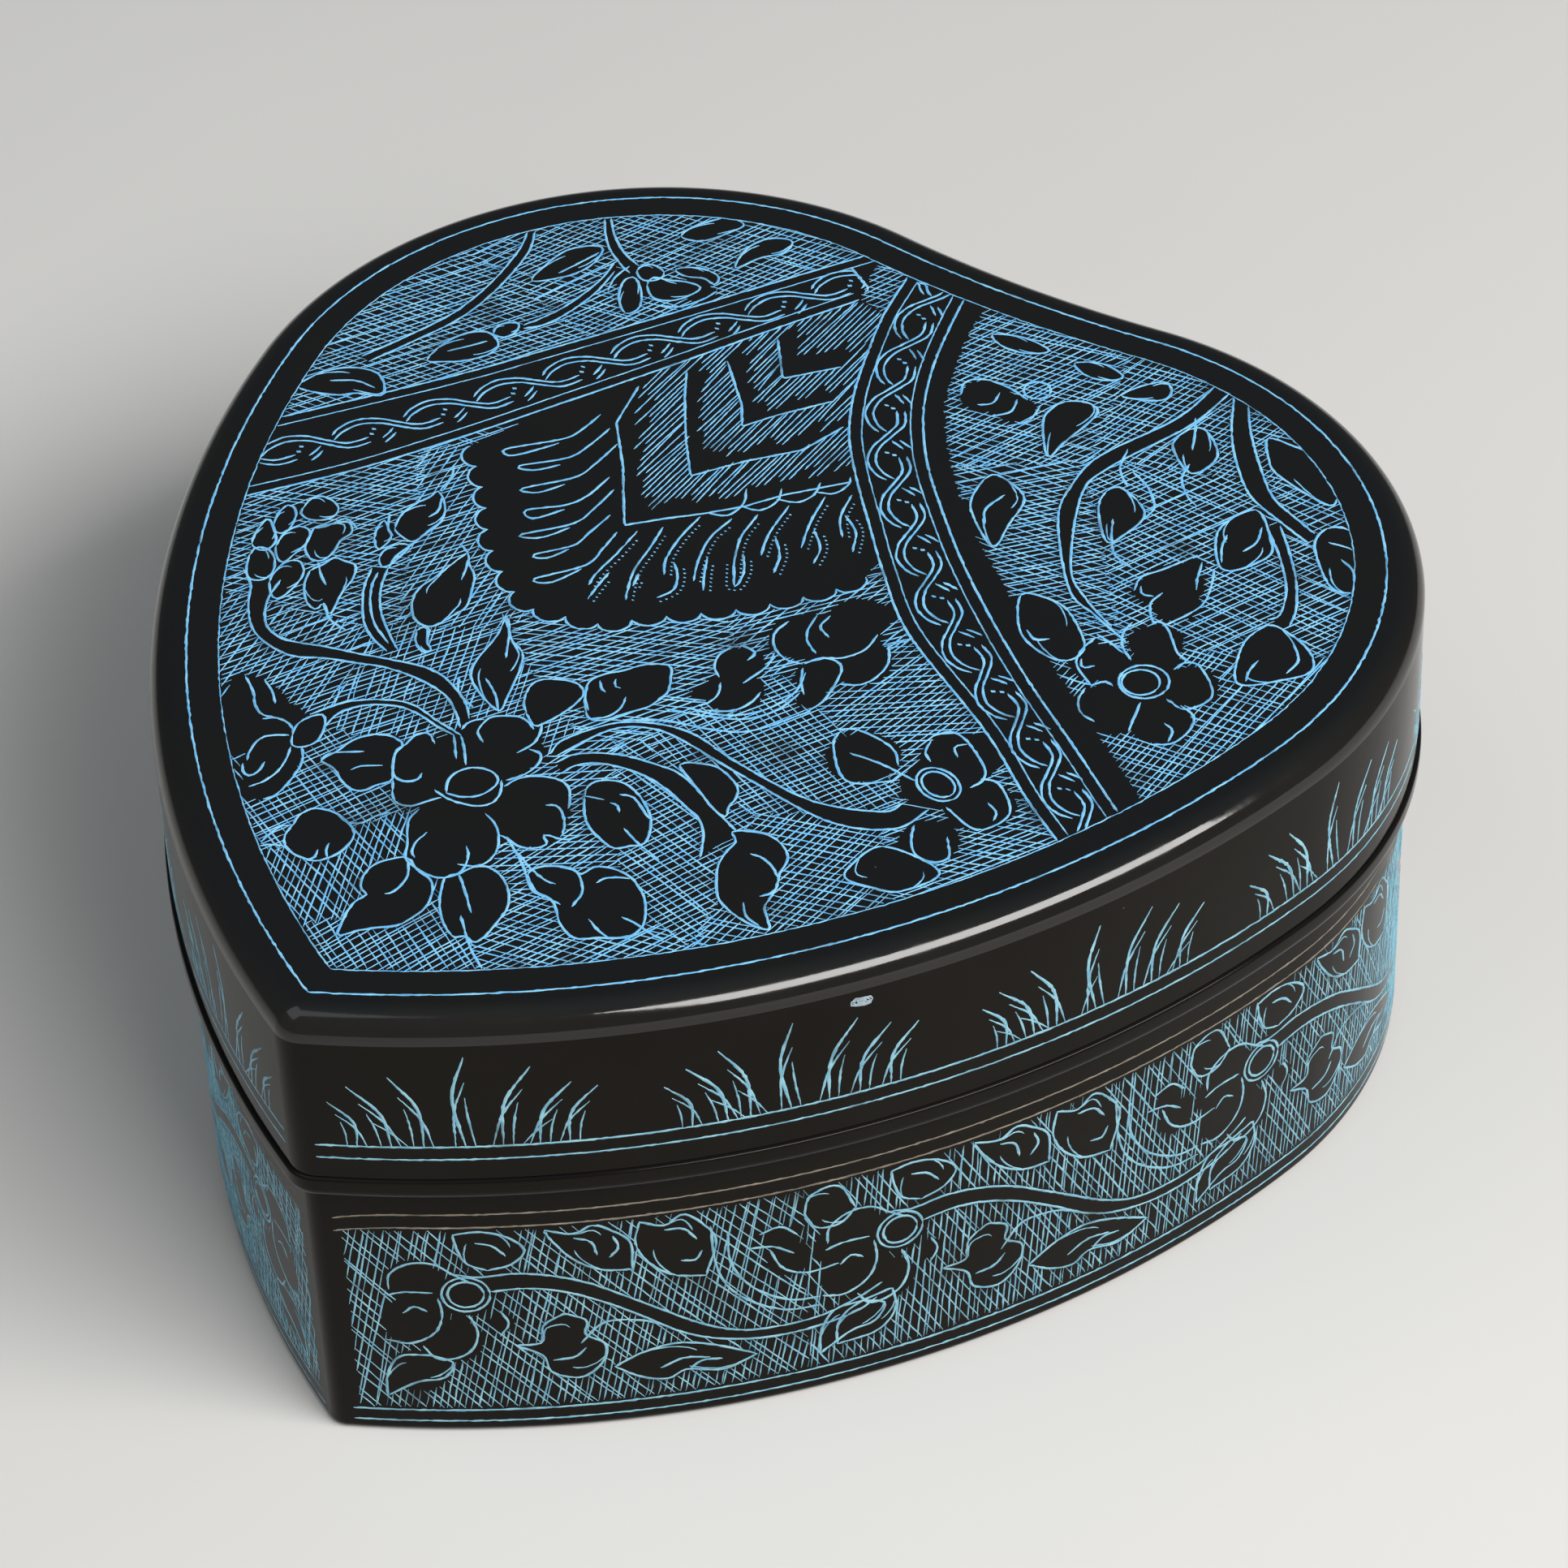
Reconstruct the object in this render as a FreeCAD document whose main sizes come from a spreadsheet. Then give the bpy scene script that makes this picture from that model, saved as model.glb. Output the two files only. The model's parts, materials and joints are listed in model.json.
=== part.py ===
"""Heart-shaped lacquer box with a lift-off lid and a wind-up musical movement inside.

Millimetres, +Z up. The origin lies under the middle of the box, on the plane it stands on.
The tip of the heart points towards -Y and its cleft towards +Y.
"""
import FreeCAD, Part
import math
import os
import re

import Sketcher

Vector = FreeCAD.Vector
UP = Vector(0, 0, 1)
TOUCH = 1e-6

# points and axes of a sketch
START, END, CENTRE = 1, 2, 3
ORIGIN, UPRIGHT_AXIS = -1, -2

# Driving dimensions, counts and ratios
SIZES = {
    # heart outline of the lid
    "heart_width": 110, "heart_length": 113.5, "lobe_radius": 37.3, "side_radius": 99,
    "cleft_radius": 119, "nose_radius": 3.2, "inner_nose_radius": 1.0,
    # lid
    "lid_height": 19.8, "lid_top": 3.2, "lid_edge_radius": 2.8, "lid_lip_radius": 1.2,
    "lid_overhang": 1.25, "lid_clearance": 0.3,
    # case
    "case_height": 28.5, "case_thickness": 2.0, "foot_radius": 0.8, "recess_depth": 11,
    "ledge_width": 2.0, "glue_gap": 0.1, "base_thickness": 3, "collar_thickness": 1.8,
    "collar_rise": 7, "collar_round": 0.6, "felt_thickness": 0.8, "felt_gap": 0.3,
    # clear cover over the movement
    "cover_height": 22.5, "cover_wall": 1.5, "cover_gap": 1.5, "ear_reach": 7, "ear_width": 8,
    "slot_gap": 0.6,
    # place of the movement and its plate
    "barrel_x": -15.5, "barrel_y": 18, "plate_thickness": 2, "plate_left": 14.5,
    "plate_right": 45.5, "plate_front": 25, "plate_back": 21.5, "plate_corner": 3,
    "corner_screw_inset": 3,
    # spring barrel
    "barrel_lift": 1.0, "boss_radius": 3.5, "flange_thickness": 1.6, "crown_radius": 12,
    "crown_face": 2.2, "crown_teeth": 48, "crown_share": 0.32, "crown_rise": 0.45,
    "crown_sink": 0.6, "flank_foot": 1.4, "flank_tip": 0.6, "drum_radius": 10, "drum_wall": 0.8,
    "drum_height": 8, "cap_thickness": 0.8, "spring_strip": 0.3, "spring_pitch": 0.75,
    "spring_gap": 0.45, "end_gap": 0.3,
    # winding stem, key and clutch
    "arbor_radius": 1.5, "hub_radius": 3, "running_gap": 0.05, "key_ground_gap": 1.5,
    "key_gap": 0.4, "key_hub_radius": 2.8, "key_wing_radius": 4, "key_wing_hole": 2,
    "key_wing_reach": 7, "key_thickness": 2, "key_floor": 1.5, "bush_radius": 4, "bush_wall": 1.0,
    "bush_flange": 0.8, "bush_rim": 2, "clutch_wire": 0.35, "clutch_pitch": 0.8,
    "clutch_turns": 3, "clutch_gap": 0.15,
    # bridge over the barrel
    "bridge_gap": 0.6, "bridge_thickness": 1.6, "bridge_width": 6, "post_radius": 2,
    "post_reach": 16,
    # tune cylinder
    "axle_radius": 1.0, "pinion_teeth": 16, "pinion_face": 1.2, "bearing_gap": 0.5,
    "bearing_thickness": 1.2, "bearing_width": 6, "bearing_rise": 2.2, "side_gap": 0.6,
    "cylinder_length": 17, "cylinder_radius": 5.6, "pin_rise": 0.6, "pin_sink": 0.3,
    "pin_radius": 0.18, "pins_per_note": 3, "wheel_teeth": 32, "gear_module": 0.4,
    "wheel_face": 1.4, "gear_share": 0.34, "gear_rise": 0.34, "gear_sink": 0.5,
    "gear_foot": 1.35, "gear_tip": 0.7, "mesh_gap": 0.05, "golden_turn": 137.5,
    # comb
    "notes": 18, "note_pitch": 0.92, "comb_slot": 0.25, "comb_gap": 0.15, "long_tooth": 12.5,
    "short_tooth": 8, "comb_back": 5.5, "comb_thickness": 1.0,
    # governor
    "governor_teeth": 8, "worm_wheel_teeth": 20, "worm_module": 0.48, "worm_wheel_face": 0.8,
    "worm_share": 0.3, "worm_starts": 2, "worm_pitch_radius": 1.4, "worm_core": 0.9,
    "worm_length": 6.4, "worm_rise": 0.8, "worm_sink": 0.1, "wheel_gap": 0.8,
    "governor_axle": 0.6, "pivot_radius": 0.5, "frame_base": 1.5, "frame_wall": 1.0,
    "frame_rise": 2.2, "frame_depth": 3.4, "frame_front": 1.5, "frame_screw_inset": 1.6,
    "frame_screw_back": 2.4, "arm_thickness": 1.0,
    "post_depth": 1.2, "post_width": 5, "brake_radius": 1.6, "brake_height": 1.4,
    "fan_radius": 4.4, "fan_height": 3, "fan_thickness": 0.4, "fan_hub": 1.3, "fan_gap": 0.6,
    # stop lever
    "lever_x": 42.5, "lever_back": 2, "lever_width": 2.2, "lever_thickness": 1.0,
    "lever_hub": 2.6, "lever_pin": 1.0, "lever_cap": 2.0, "lever_post": 1.8, "lever_reach": 6,
    "lever_swing": 8, "lever_tab": 3, "lever_knob": 1.4, "lever_knob_height": 2.2,
    "pad_gap": 0.15,
    # screws
    "screw_radius": 0.8, "screw_head": 1.5, "screw_head_height": 0.9, "screw_gap": 0.05,
    "mount_radius": 1.2, "mount_head": 2.2, "mount_head_height": 1.4, "screw_bite": 3,
    "tip_gap": 0.2, "slot_width": 0.5, "slot_depth": 0.4,
}

# Values worked out from the driving dimensions
DERIVED = {
    # arcs of the heart: lobe centre, nose centre and the centre of the long side arc
    "lobe_x": "heart_width / 2 - lobe_radius",
    "lobe_y": "heart_length / 2 - lobe_radius",
    "nose_y": "nose_radius - heart_length / 2",
    "nose_rise": "lobe_y - nose_y",
    "nose_reach": "sqrt(lobe_x ^ 2 + nose_rise ^ 2)",
    "inner_side": "side_radius - nose_radius",
    "side_along": "(inner_side ^ 2 - (side_radius - lobe_radius) ^ 2 + nose_reach ^ 2) / (2 * nose_reach)",
    "side_across": "sqrt(inner_side ^ 2 - side_along ^ 2)",
    "side_offset": "(side_across * nose_rise - side_along * lobe_x) / nose_reach",
    "side_y": "nose_y + (side_along * nose_rise + side_across * lobe_x) / nose_reach",
    "cleft_y": "lobe_y + sqrt((lobe_radius + cleft_radius) ^ 2 - lobe_x ^ 2)",
    # insets of the nested outlines, measured from the outside of the lid
    "box_height": "case_height + lid_height",
    "wall_inset": "lid_overhang + case_thickness",
    "collar_inset": "wall_inset + glue_gap",
    "lid_inset": "collar_inset - lid_clearance",
    "skirt_inset": "wall_inset + ledge_width",
    "room_inset": "collar_inset + collar_thickness",
    "case_nose": "nose_radius - lid_overhang",
    # levels of the movement
    "deck_z": "recess_depth + base_thickness",
    "plate_z": "deck_z + plate_thickness",
    "barrel_z": "plate_z + barrel_lift",
    "crown_z": "barrel_z + flange_thickness",
    "drum_z": "crown_z + drum_height",
    "cap_z": "drum_z + cap_thickness",
    "bridge_z": "cap_z + bridge_gap",
    "bridge_top": "bridge_z + bridge_thickness",
    "pinion_radius": "crown_radius * pinion_teeth / crown_teeth",
    "axle_z": "crown_z + crown_sink + pinion_radius",
    "flange_radius": "crown_radius + crown_face / 2",
    # stations along the cylinder arbor
    "bearing_left_x": "barrel_x + flange_radius + bearing_gap",
    "cylinder_x": "bearing_left_x + bearing_thickness + side_gap",
    "wheel_x": "cylinder_x + cylinder_length + side_gap",
    "worm_wheel_x": "wheel_x + wheel_face + wheel_gap",
    "worm_x": "worm_wheel_x + worm_wheel_face / 2",
    "bearing_right_x": "worm_wheel_x + worm_wheel_face + 2 * side_gap",
    "arbor_left_x": "barrel_x + crown_radius - pinion_face / 2 - side_gap / 2",
    "pin_circle": "cylinder_radius + pin_rise",
    # governor
    "wheel_radius": "gear_module * wheel_teeth / 2",
    "governor_radius": "gear_module * governor_teeth / 2",
    "governor_y": "barrel_y + wheel_radius + governor_radius + mesh_gap",
    "worm_wheel_radius": "worm_module * worm_wheel_teeth / 2",
    "worm_y": "governor_y + worm_wheel_radius + worm_pitch_radius",
    "worm_outer": "worm_pitch_radius + worm_module * worm_rise",
    "frame_z": "plate_z + frame_base",
    "frame_left_x": "wheel_x - side_gap / 2 - frame_wall",
    "frame_right_x": "worm_wheel_x + worm_wheel_face + side_gap",
    "frame_front_y": "governor_y - frame_front",
    "brake_z": "axle_z + worm_length / 2 + fan_gap",
    "fan_z": "brake_z + brake_height + fan_gap / 2",
    "arm_z": "fan_z + fan_height + fan_gap",
    "frame_back_y": "worm_y + fan_radius + fan_gap",
    # comb
    "comb_width": "notes * note_pitch",
    "comb_x": "cylinder_x + (cylinder_length - comb_width) / 2",
    "comb_tip_y": "barrel_y - pin_circle - comb_gap",
    "comb_back_y": "comb_tip_y - long_tooth - comb_back",
    "comb_z": "axle_z - comb_thickness / 2",
    # cover
    "cover_left": "barrel_x - plate_left - cover_gap - cover_wall",
    "cover_front": "barrel_y - plate_front - cover_gap - cover_wall",
    "cover_length": "plate_left + plate_right + 2 * cover_gap + 2 * cover_wall",
    "cover_depth": "plate_front + plate_back + 2 * cover_gap + 2 * cover_wall",
    "cover_right": "cover_left + cover_length",
    "ear_y": "barrel_y - ear_width / 2",
    # lever
    "lever_axis_x": "barrel_x + lever_x",
    "lever_axis_y": "barrel_y - lever_back",
    "lever_z": "brake_z + (brake_height - lever_thickness) / 2",
    "lever_end_y": "cover_front - lever_reach",
    "pad_x": "worm_x + brake_radius + pad_gap",
    "slot_shift": "(lever_axis_y - cover_front) * tan(lever_swing * 1 deg)",
    # winding key
    "key_top": "recess_depth - bush_flange - key_gap",
    "key_z": "key_ground_gap + key_wing_radius",
}

WORDS = re.compile(r"[a-z][a-z_]*")
TURN = {
    "x": FreeCAD.Rotation(Vector(0, 1, 0), 90),
    "y": FreeCAD.Rotation(Vector(1, 0, 0), -90),
    "z": FreeCAD.Rotation(),
}

doc = FreeCAD.newDocument("MusicBox")
nodes = []


def bound(text):
    """Turn plain names into references to the sheet and to the derived values."""
    def owner(match):
        word = match.group(0)
        if word in SIZES:
            return "Sheet." + word
        if word in DERIVED:
            return "Derived." + word
        return word
    return WORDS.sub(owner, text)


def bind(item, expressions):
    for name, text in expressions.items():
        item.setExpression(name, bound(text))
    return item


def make_values():
    sheet = doc.addObject("Spreadsheet::Sheet", "Sheet")
    for row, (name, size) in enumerate(SIZES.items(), 1):
        sheet.set(f"A{row}", name)
        sheet.set(f"B{row}", str(size))
        sheet.setAlias(f"B{row}", name)
    doc.recompute()
    derived = doc.addObject("App::VarSet", "Derived")
    for name, text in DERIVED.items():
        derived.addProperty("App::PropertyFloat", name)
        derived.setExpression(name, bound(text))
        doc.recompute()


def value(text):
    return float(doc.getObject("Sheet").evalExpression(bound(text)))


def count(name):
    return int(round(value(name)))


# Registered pieces and shared shapes


def node(label, item):
    item.Label = label
    nodes.append(item)
    return item


def place(corner):
    return {f"Placement.Base.{axis}": text for axis, text in zip("xyz", corner)}


def box(name, corner, size):
    item = doc.addObject("Part::Box", name)
    sizes = dict(zip(("Length", "Width", "Height"), size))
    return bind(item, {**sizes, **place(corner)})


def cylinder(name, base, radius, height, axis="z"):
    item = doc.addObject("Part::Cylinder", name)
    item.Placement = FreeCAD.Placement(Vector(), TURN[axis])
    return bind(item, {"Radius": radius, "Height": height, **place(base)})


def join(name, *items):
    item = doc.addObject("Part::MultiFuse", name)
    item.Shapes = list(items)
    item.Refine = True
    return item


def group(name, *items):
    item = doc.addObject("Part::Compound", name)
    item.Links = list(items)
    return item


def cut(name, base, *tools):
    item = doc.addObject("Part::Cut", name)
    item.Base = base
    item.Tool = tools[0] if len(tools) == 1 else join(name + "_tools", *tools)
    return item


def solid(label, shape):
    """A piece whose outline is worked out by a formula."""
    item = doc.addObject("Part::Feature", label)
    item.Shape = shape
    return node(label, item)


def slotted(name, x, y, low, head, tall, slot):
    """A round screw head with a slot across it, the slot's floor or roof at the level given."""
    cap = cylinder(name + "_head", (x, y, low), head, tall)
    groove = box(name + "_slot", (f"{x} - {head}", f"{y} - slot_width / 2", slot),
                 (f"2 * {head}", "slot_width", "slot_depth"))
    return cut(name + "_cap", cap, groove)


def screw(name, x, y, seat, bite):
    """A screw standing on a seat level, its shank reaching down by the bite."""
    shank = cylinder(name + "_shank", (x, y, f"{seat} - ({bite})"), "screw_radius", bite)
    slot = f"{seat} + screw_head_height - slot_depth"
    cap = slotted(name, x, y, seat, "screw_head", "screw_head_height", slot)
    return join(name, shank, cap)


# Sketches and features of the bodies


def new_body(label):
    return node(label, doc.addObject("PartDesign::Body", label))


def sketch_on(body, name, height):
    sketch = body.newObject("Sketcher::SketchObject", name)
    plane = next(item for item in body.Origin.OriginFeatures if item.Role == "XY_Plane")
    sketch.AttachmentSupport = (plane, [""])
    sketch.MapMode = "FlatFace"
    return bind(sketch, {"AttachmentOffset.Base.z": height})


def hold(sketch, text, kind, *points):
    """Add a dimension and bind it to its expression."""
    index = sketch.addConstraint(Sketcher.Constraint(kind, *points, value(text)))
    sketch.setExpression(f"Constraints[{index}]", bound(text))


def arc(centre, radius, start, end):
    return Part.ArcOfCircle(Part.Circle(Vector(*centre, 0), UP, radius), start, end)


def heart_sketch(body, name, height, inset, nose):
    """The heart outline as six tangent arcs, set in from the outside of the lid."""
    depth = value(inset)
    side_x = -value("side_offset")
    side_y = value("side_y")
    lobe_x = value("lobe_x")
    lobe_y = value("lobe_y")
    cleft_y = value("cleft_y")
    side = value("side_radius") - depth
    lobe = value("lobe_radius") - depth
    cleft = value("cleft_radius") + depth
    tip = value(nose)
    nose_y = side_y - math.sqrt((side - tip) ** 2 - side_x ** 2)
    low = math.atan2(nose_y - side_y, -side_x)
    high = math.atan2(lobe_y - side_y, lobe_x - side_x)
    inner = math.atan2(cleft_y - lobe_y, -lobe_x)
    dip = math.atan2(lobe_y - cleft_y, lobe_x)
    sketch = sketch_on(body, name, height)
    sketch.addGeometry([
        arc((0, nose_y), tip, math.pi - low, math.tau + low),
        arc((side_x, side_y), side, low, high),
        arc((lobe_x, lobe_y), lobe, high, inner),
        arc((0, cleft_y), cleft, -math.pi - dip, dip),
        arc((-lobe_x, lobe_y), lobe, math.pi - inner, math.pi - high),
        arc((-side_x, side_y), side, math.pi - high, math.pi - low),
    ])
    nose_arc, side_arc, lobe_arc, cleft_arc, left_lobe, left_side = range(6)
    joints = (
        (nose_arc, END, side_arc, START), (side_arc, END, lobe_arc, START),
        (lobe_arc, END, cleft_arc, END), (cleft_arc, START, left_lobe, START),
        (left_lobe, END, left_side, START), (left_side, END, nose_arc, START),
    )
    for joint in joints:
        sketch.addConstraint(Sketcher.Constraint("Tangent", *joint))
    sketch.addConstraint(Sketcher.Constraint("Equal", side_arc, left_side))
    sketch.addConstraint(Sketcher.Constraint("Equal", lobe_arc, left_lobe))
    sketch.addConstraint(Sketcher.Constraint("PointOnObject", nose_arc, CENTRE, UPRIGHT_AXIS))
    sketch.addConstraint(Sketcher.Constraint("PointOnObject", cleft_arc, CENTRE, UPRIGHT_AXIS))
    sketch.addConstraint(Sketcher.Constraint("Horizontal", lobe_arc, CENTRE, left_lobe, CENTRE))
    hold(sketch, nose, "Radius", nose_arc)
    hold(sketch, f"side_radius - ({inset})", "Radius", side_arc)
    hold(sketch, f"lobe_radius - ({inset})", "Radius", lobe_arc)
    hold(sketch, f"cleft_radius + ({inset})", "Radius", cleft_arc)
    hold(sketch, "lobe_x", "DistanceX", ORIGIN, START, lobe_arc, CENTRE)
    hold(sketch, "lobe_y", "DistanceY", ORIGIN, START, lobe_arc, CENTRE)
    hold(sketch, "side_offset", "DistanceX", side_arc, CENTRE, ORIGIN, START)
    return sketch


def circle_sketch(body, name, height, circles):
    sketch = sketch_on(body, name, height)
    for x, y, radius in circles:
        index = sketch.addGeometry(Part.Circle(Vector(value(x), value(y), 0), UP, value(radius)))
        hold(sketch, radius, "Radius", index)
        hold(sketch, x, "DistanceX", ORIGIN, START, index, CENTRE)
        hold(sketch, y, "DistanceY", ORIGIN, START, index, CENTRE)
    return sketch


def rectangle_sketch(body, name, height, left, front, length, depth):
    sketch = sketch_on(body, name, height)
    x = value(left)
    y = value(front)
    corners = [Vector(x, y), Vector(x + value(length), y)]
    corners += [Vector(x + value(length), y + value(depth)), Vector(x, y + value(depth))]
    for index in range(4):
        sketch.addGeometry(Part.LineSegment(corners[index], corners[(index + 1) % 4]))
    for index in range(4):
        sketch.addConstraint(Sketcher.Constraint("Coincident", index, END, (index + 1) % 4, START))
        kind = "Vertical" if index % 2 else "Horizontal"
        sketch.addConstraint(Sketcher.Constraint(kind, index))
    hold(sketch, length, "DistanceX", 0, START, 0, END)
    hold(sketch, depth, "DistanceY", 1, START, 1, END)
    hold(sketch, left, "DistanceX", ORIGIN, START, 0, START)
    hold(sketch, front, "DistanceY", ORIGIN, START, 0, START)
    return sketch


def pad(body, sketch, length):
    feature = body.newObject("PartDesign::Pad", sketch.Name + "_pad")
    feature.Profile = sketch
    bind(feature, {"Length": length})
    doc.recompute()
    return feature


def pocket(body, sketch, depth, upward=False):
    before = body.Shape.Volume
    feature = body.newObject("PartDesign::Pocket", sketch.Name + "_pocket")
    feature.Profile = sketch
    feature.Reversed = upward
    bind(feature, {"Length": depth})
    doc.recompute()
    if body.Shape.Volume >= before:
        raise RuntimeError(feature.Name + " cuts nothing")
    return feature


def rim_edges(shape, height):
    """Names of the outer edges of the level faces at one height."""
    rim = []
    for face in shape.Faces:
        bounds = face.BoundBox
        if bounds.ZLength < TOUCH and abs(bounds.ZMin - height) < TOUCH:
            rim += face.OuterWire.Edges
    names = []
    for index, edge in enumerate(shape.Edges, 1):
        if any(edge.isSame(other) for other in rim):
            names.append(f"Edge{index}")
    return names


def upright_edges(shape):
    names = []
    for index, edge in enumerate(shape.Edges, 1):
        bounds = edge.BoundBox
        if bounds.XLength < TOUCH and bounds.YLength < TOUCH:
            names.append(f"Edge{index}")
    return names


def round_edges(body, feature, names, radius):
    rounded = body.newObject("PartDesign::Fillet", feature.Name + "_round")
    rounded.Base = (feature, names)
    bind(rounded, {"Radius": radius})
    doc.recompute()
    return rounded


# Case and lid


def make_case():
    wall = new_body("case_wall")
    pad(wall, heart_sketch(wall, "wall_outside", "0", "lid_overhang", "case_nose"), "case_height")
    room = heart_sketch(wall, "wall_inside", "case_height", "wall_inset", "inner_nose_radius")
    pocket(wall, room, "case_height - recess_depth")
    skirt = heart_sketch(wall, "skirt_inside", "0", "skirt_inset", "inner_nose_radius")
    last = pocket(wall, skirt, "recess_depth", upward=True)
    round_edges(wall, last, rim_edges(last.Shape, 0), "foot_radius")

    panel = new_body("base_panel")
    pad(panel, heart_sketch(panel, "panel", "recess_depth", "collar_inset", "inner_nose_radius"),
        "base_thickness")
    holes = [("barrel_x", "barrel_y", "bush_radius + running_gap")]
    holes += [(x, y, "mount_radius + screw_gap") for x, y in mount_places()]
    holes += [(x, y, "screw_radius + screw_gap") for x, y in ear_places()]
    pocket(panel, circle_sketch(panel, "panel_holes", "deck_z", holes), "base_thickness")

    collar = new_body("collar")
    pad(collar, heart_sketch(collar, "collar_outside", "deck_z", "collar_inset", "inner_nose_radius"),
        "case_height - deck_z + collar_rise")
    inside = heart_sketch(collar, "collar_inside", "deck_z", "room_inset", "inner_nose_radius")
    last = pocket(collar, inside, "case_height - deck_z + collar_rise", upward=True)
    top = value("case_height + collar_rise")
    round_edges(collar, last, rim_edges(last.Shape, top), "collar_round")

    felt = new_body("floor_lining")
    pad(felt, heart_sketch(felt, "felt", "deck_z", "room_inset + felt_gap", "inner_nose_radius"),
        "felt_thickness")
    under_cover = rectangle_sketch(
        felt, "felt_cover", "deck_z", "cover_left - felt_gap", "cover_front - felt_gap",
        "cover_length + 2 * felt_gap", "cover_depth + 2 * felt_gap")
    pocket(felt, under_cover, "felt_thickness", upward=True)
    under_ears = rectangle_sketch(
        felt, "felt_ears", "deck_z", "cover_left - ear_reach - felt_gap", "ear_y - felt_gap",
        "cover_length + 2 * ear_reach + 2 * felt_gap", "ear_width + 2 * felt_gap")
    pocket(felt, under_ears, "felt_thickness", upward=True)


def make_lid():
    lid = new_body("lid_shell")
    pad(lid, heart_sketch(lid, "lid_outside", "case_height", "0", "nose_radius"), "lid_height")
    inside = heart_sketch(lid, "lid_inside", "case_height", "lid_inset", "inner_nose_radius")
    last = pocket(lid, inside, "lid_height - lid_top", upward=True)
    top = rim_edges(last.Shape, value("box_height"))
    last = round_edges(lid, last, top, "lid_edge_radius")
    lip = rim_edges(last.Shape, value("case_height"))
    round_edges(lid, last, lip, "lid_lip_radius")

    felt = new_body("lid_lining")
    pad(felt, heart_sketch(felt, "lid_felt", "box_height - lid_top - felt_thickness",
                           "lid_inset + felt_gap", "inner_nose_radius"), "felt_thickness")


# Clear cover


def ear_places():
    return [("cover_left - ear_reach / 2", "barrel_y"), ("cover_right + ear_reach / 2", "barrel_y")]


def make_cover():
    outside = box("cover_outside", ("cover_left", "cover_front", "deck_z"),
                  ("cover_length", "cover_depth", "cover_height"))
    ears = box("cover_ears", ("cover_left - ear_reach", "ear_y", "deck_z"),
               ("cover_length + 2 * ear_reach", "ear_width", "cover_wall"))
    inside = box("cover_inside",
                 ("cover_left + cover_wall", "cover_front + cover_wall", "deck_z"),
                 ("cover_length - 2 * cover_wall", "cover_depth - 2 * cover_wall",
                  "cover_height - cover_wall"))
    slot = box("cover_slot",
               ("lever_axis_x - lever_width / 2 - slot_shift - slot_gap", "cover_front",
                "lever_z - slot_gap"),
               ("lever_width + slot_shift + 2 * slot_gap", "cover_wall",
                "lever_thickness + 2 * slot_gap"))
    holes = [cylinder(f"ear_hole_{index}", (x, y, "deck_z"), "screw_radius + screw_gap", "cover_wall")
             for index, (x, y) in enumerate(ear_places())]
    node("movement_cover", cut("cover", join("cover_shell", outside, ears), inside, slot, *holes))
    screws = [screw(f"cover_screw_{index}", x, y, "deck_z + cover_wall", "screw_bite + cover_wall - tip_gap")
              for index, (x, y) in enumerate(ear_places())]
    node("cover_screws", group("cover_screw_pair", *screws))


# Plate, screws and bearings


def mount_places():
    left = "barrel_x - plate_left + corner_screw_inset"
    right = "barrel_x + plate_right - corner_screw_inset"
    front = "barrel_y - plate_front + corner_screw_inset"
    back = "barrel_y + plate_back - corner_screw_inset"
    return [(left, front), (right, front), (right, back), (left, back)]


def make_plate():
    plate = new_body("bedplate")
    outline = rectangle_sketch(plate, "plate_outline", "deck_z", "barrel_x - plate_left",
                               "barrel_y - plate_front", "plate_left + plate_right",
                               "plate_front + plate_back")
    last = pad(plate, outline, "plate_thickness")
    round_edges(plate, last, upright_edges(last.Shape), "plate_corner")
    boss = circle_sketch(plate, "plate_boss", "plate_z", [("barrel_x", "barrel_y", "boss_radius")])
    pad(plate, boss, "barrel_lift")
    holes = [("barrel_x", "barrel_y", "arbor_radius + running_gap")]
    holes += [(x, y, "mount_radius + screw_gap") for x, y in mount_places()]
    holes += [(x, y, "screw_radius + screw_gap") for x, y in frame_screw_places()]
    pocket(plate, circle_sketch(plate, "plate_holes", "barrel_z", holes),
           "plate_thickness + barrel_lift")

    screws = []
    for index, (x, y) in enumerate(mount_places()):
        shank = cylinder(f"mount_{index}_shank", (x, y, "recess_depth"), "mount_radius",
                         "base_thickness + plate_thickness - tip_gap")
        low = "recess_depth - mount_head_height"
        head = slotted(f"mount_{index}", x, y, low, "mount_head", "mount_head_height", low)
        screws.append(join(f"mount_{index}", shank, head))
    node("mounting_screws", group("mount_set", *screws))

    for side in ("left", "right"):
        station = f"bearing_{side}_x"
        stand = box(f"stand_{side}", (station, "barrel_y - bearing_width / 2", "plate_z"),
                    ("bearing_thickness", "bearing_width", "axle_z - plate_z + bearing_rise"))
        bore = cylinder(f"bore_{side}", (station, "barrel_y", "axle_z"),
                        "axle_radius + running_gap", "bearing_thickness", "x")
        node(f"bearing_{side}", cut(f"bearing_{side}", stand, bore))


# Barrel, stem and key


def tooth_prism(base_width, top_width, inner, outer, bottom, top):
    """One crown tooth along +X, its foot sunk into the flange."""
    profile = [
        Vector(inner, -base_width / 2, bottom), Vector(inner, base_width / 2, bottom),
        Vector(inner, top_width / 2, top), Vector(inner, -top_width / 2, top),
    ]
    face = Part.Face(Part.makePolygon(profile + profile[:1]))
    return face.extrude(Vector(outer - inner, 0, 0))


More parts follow.
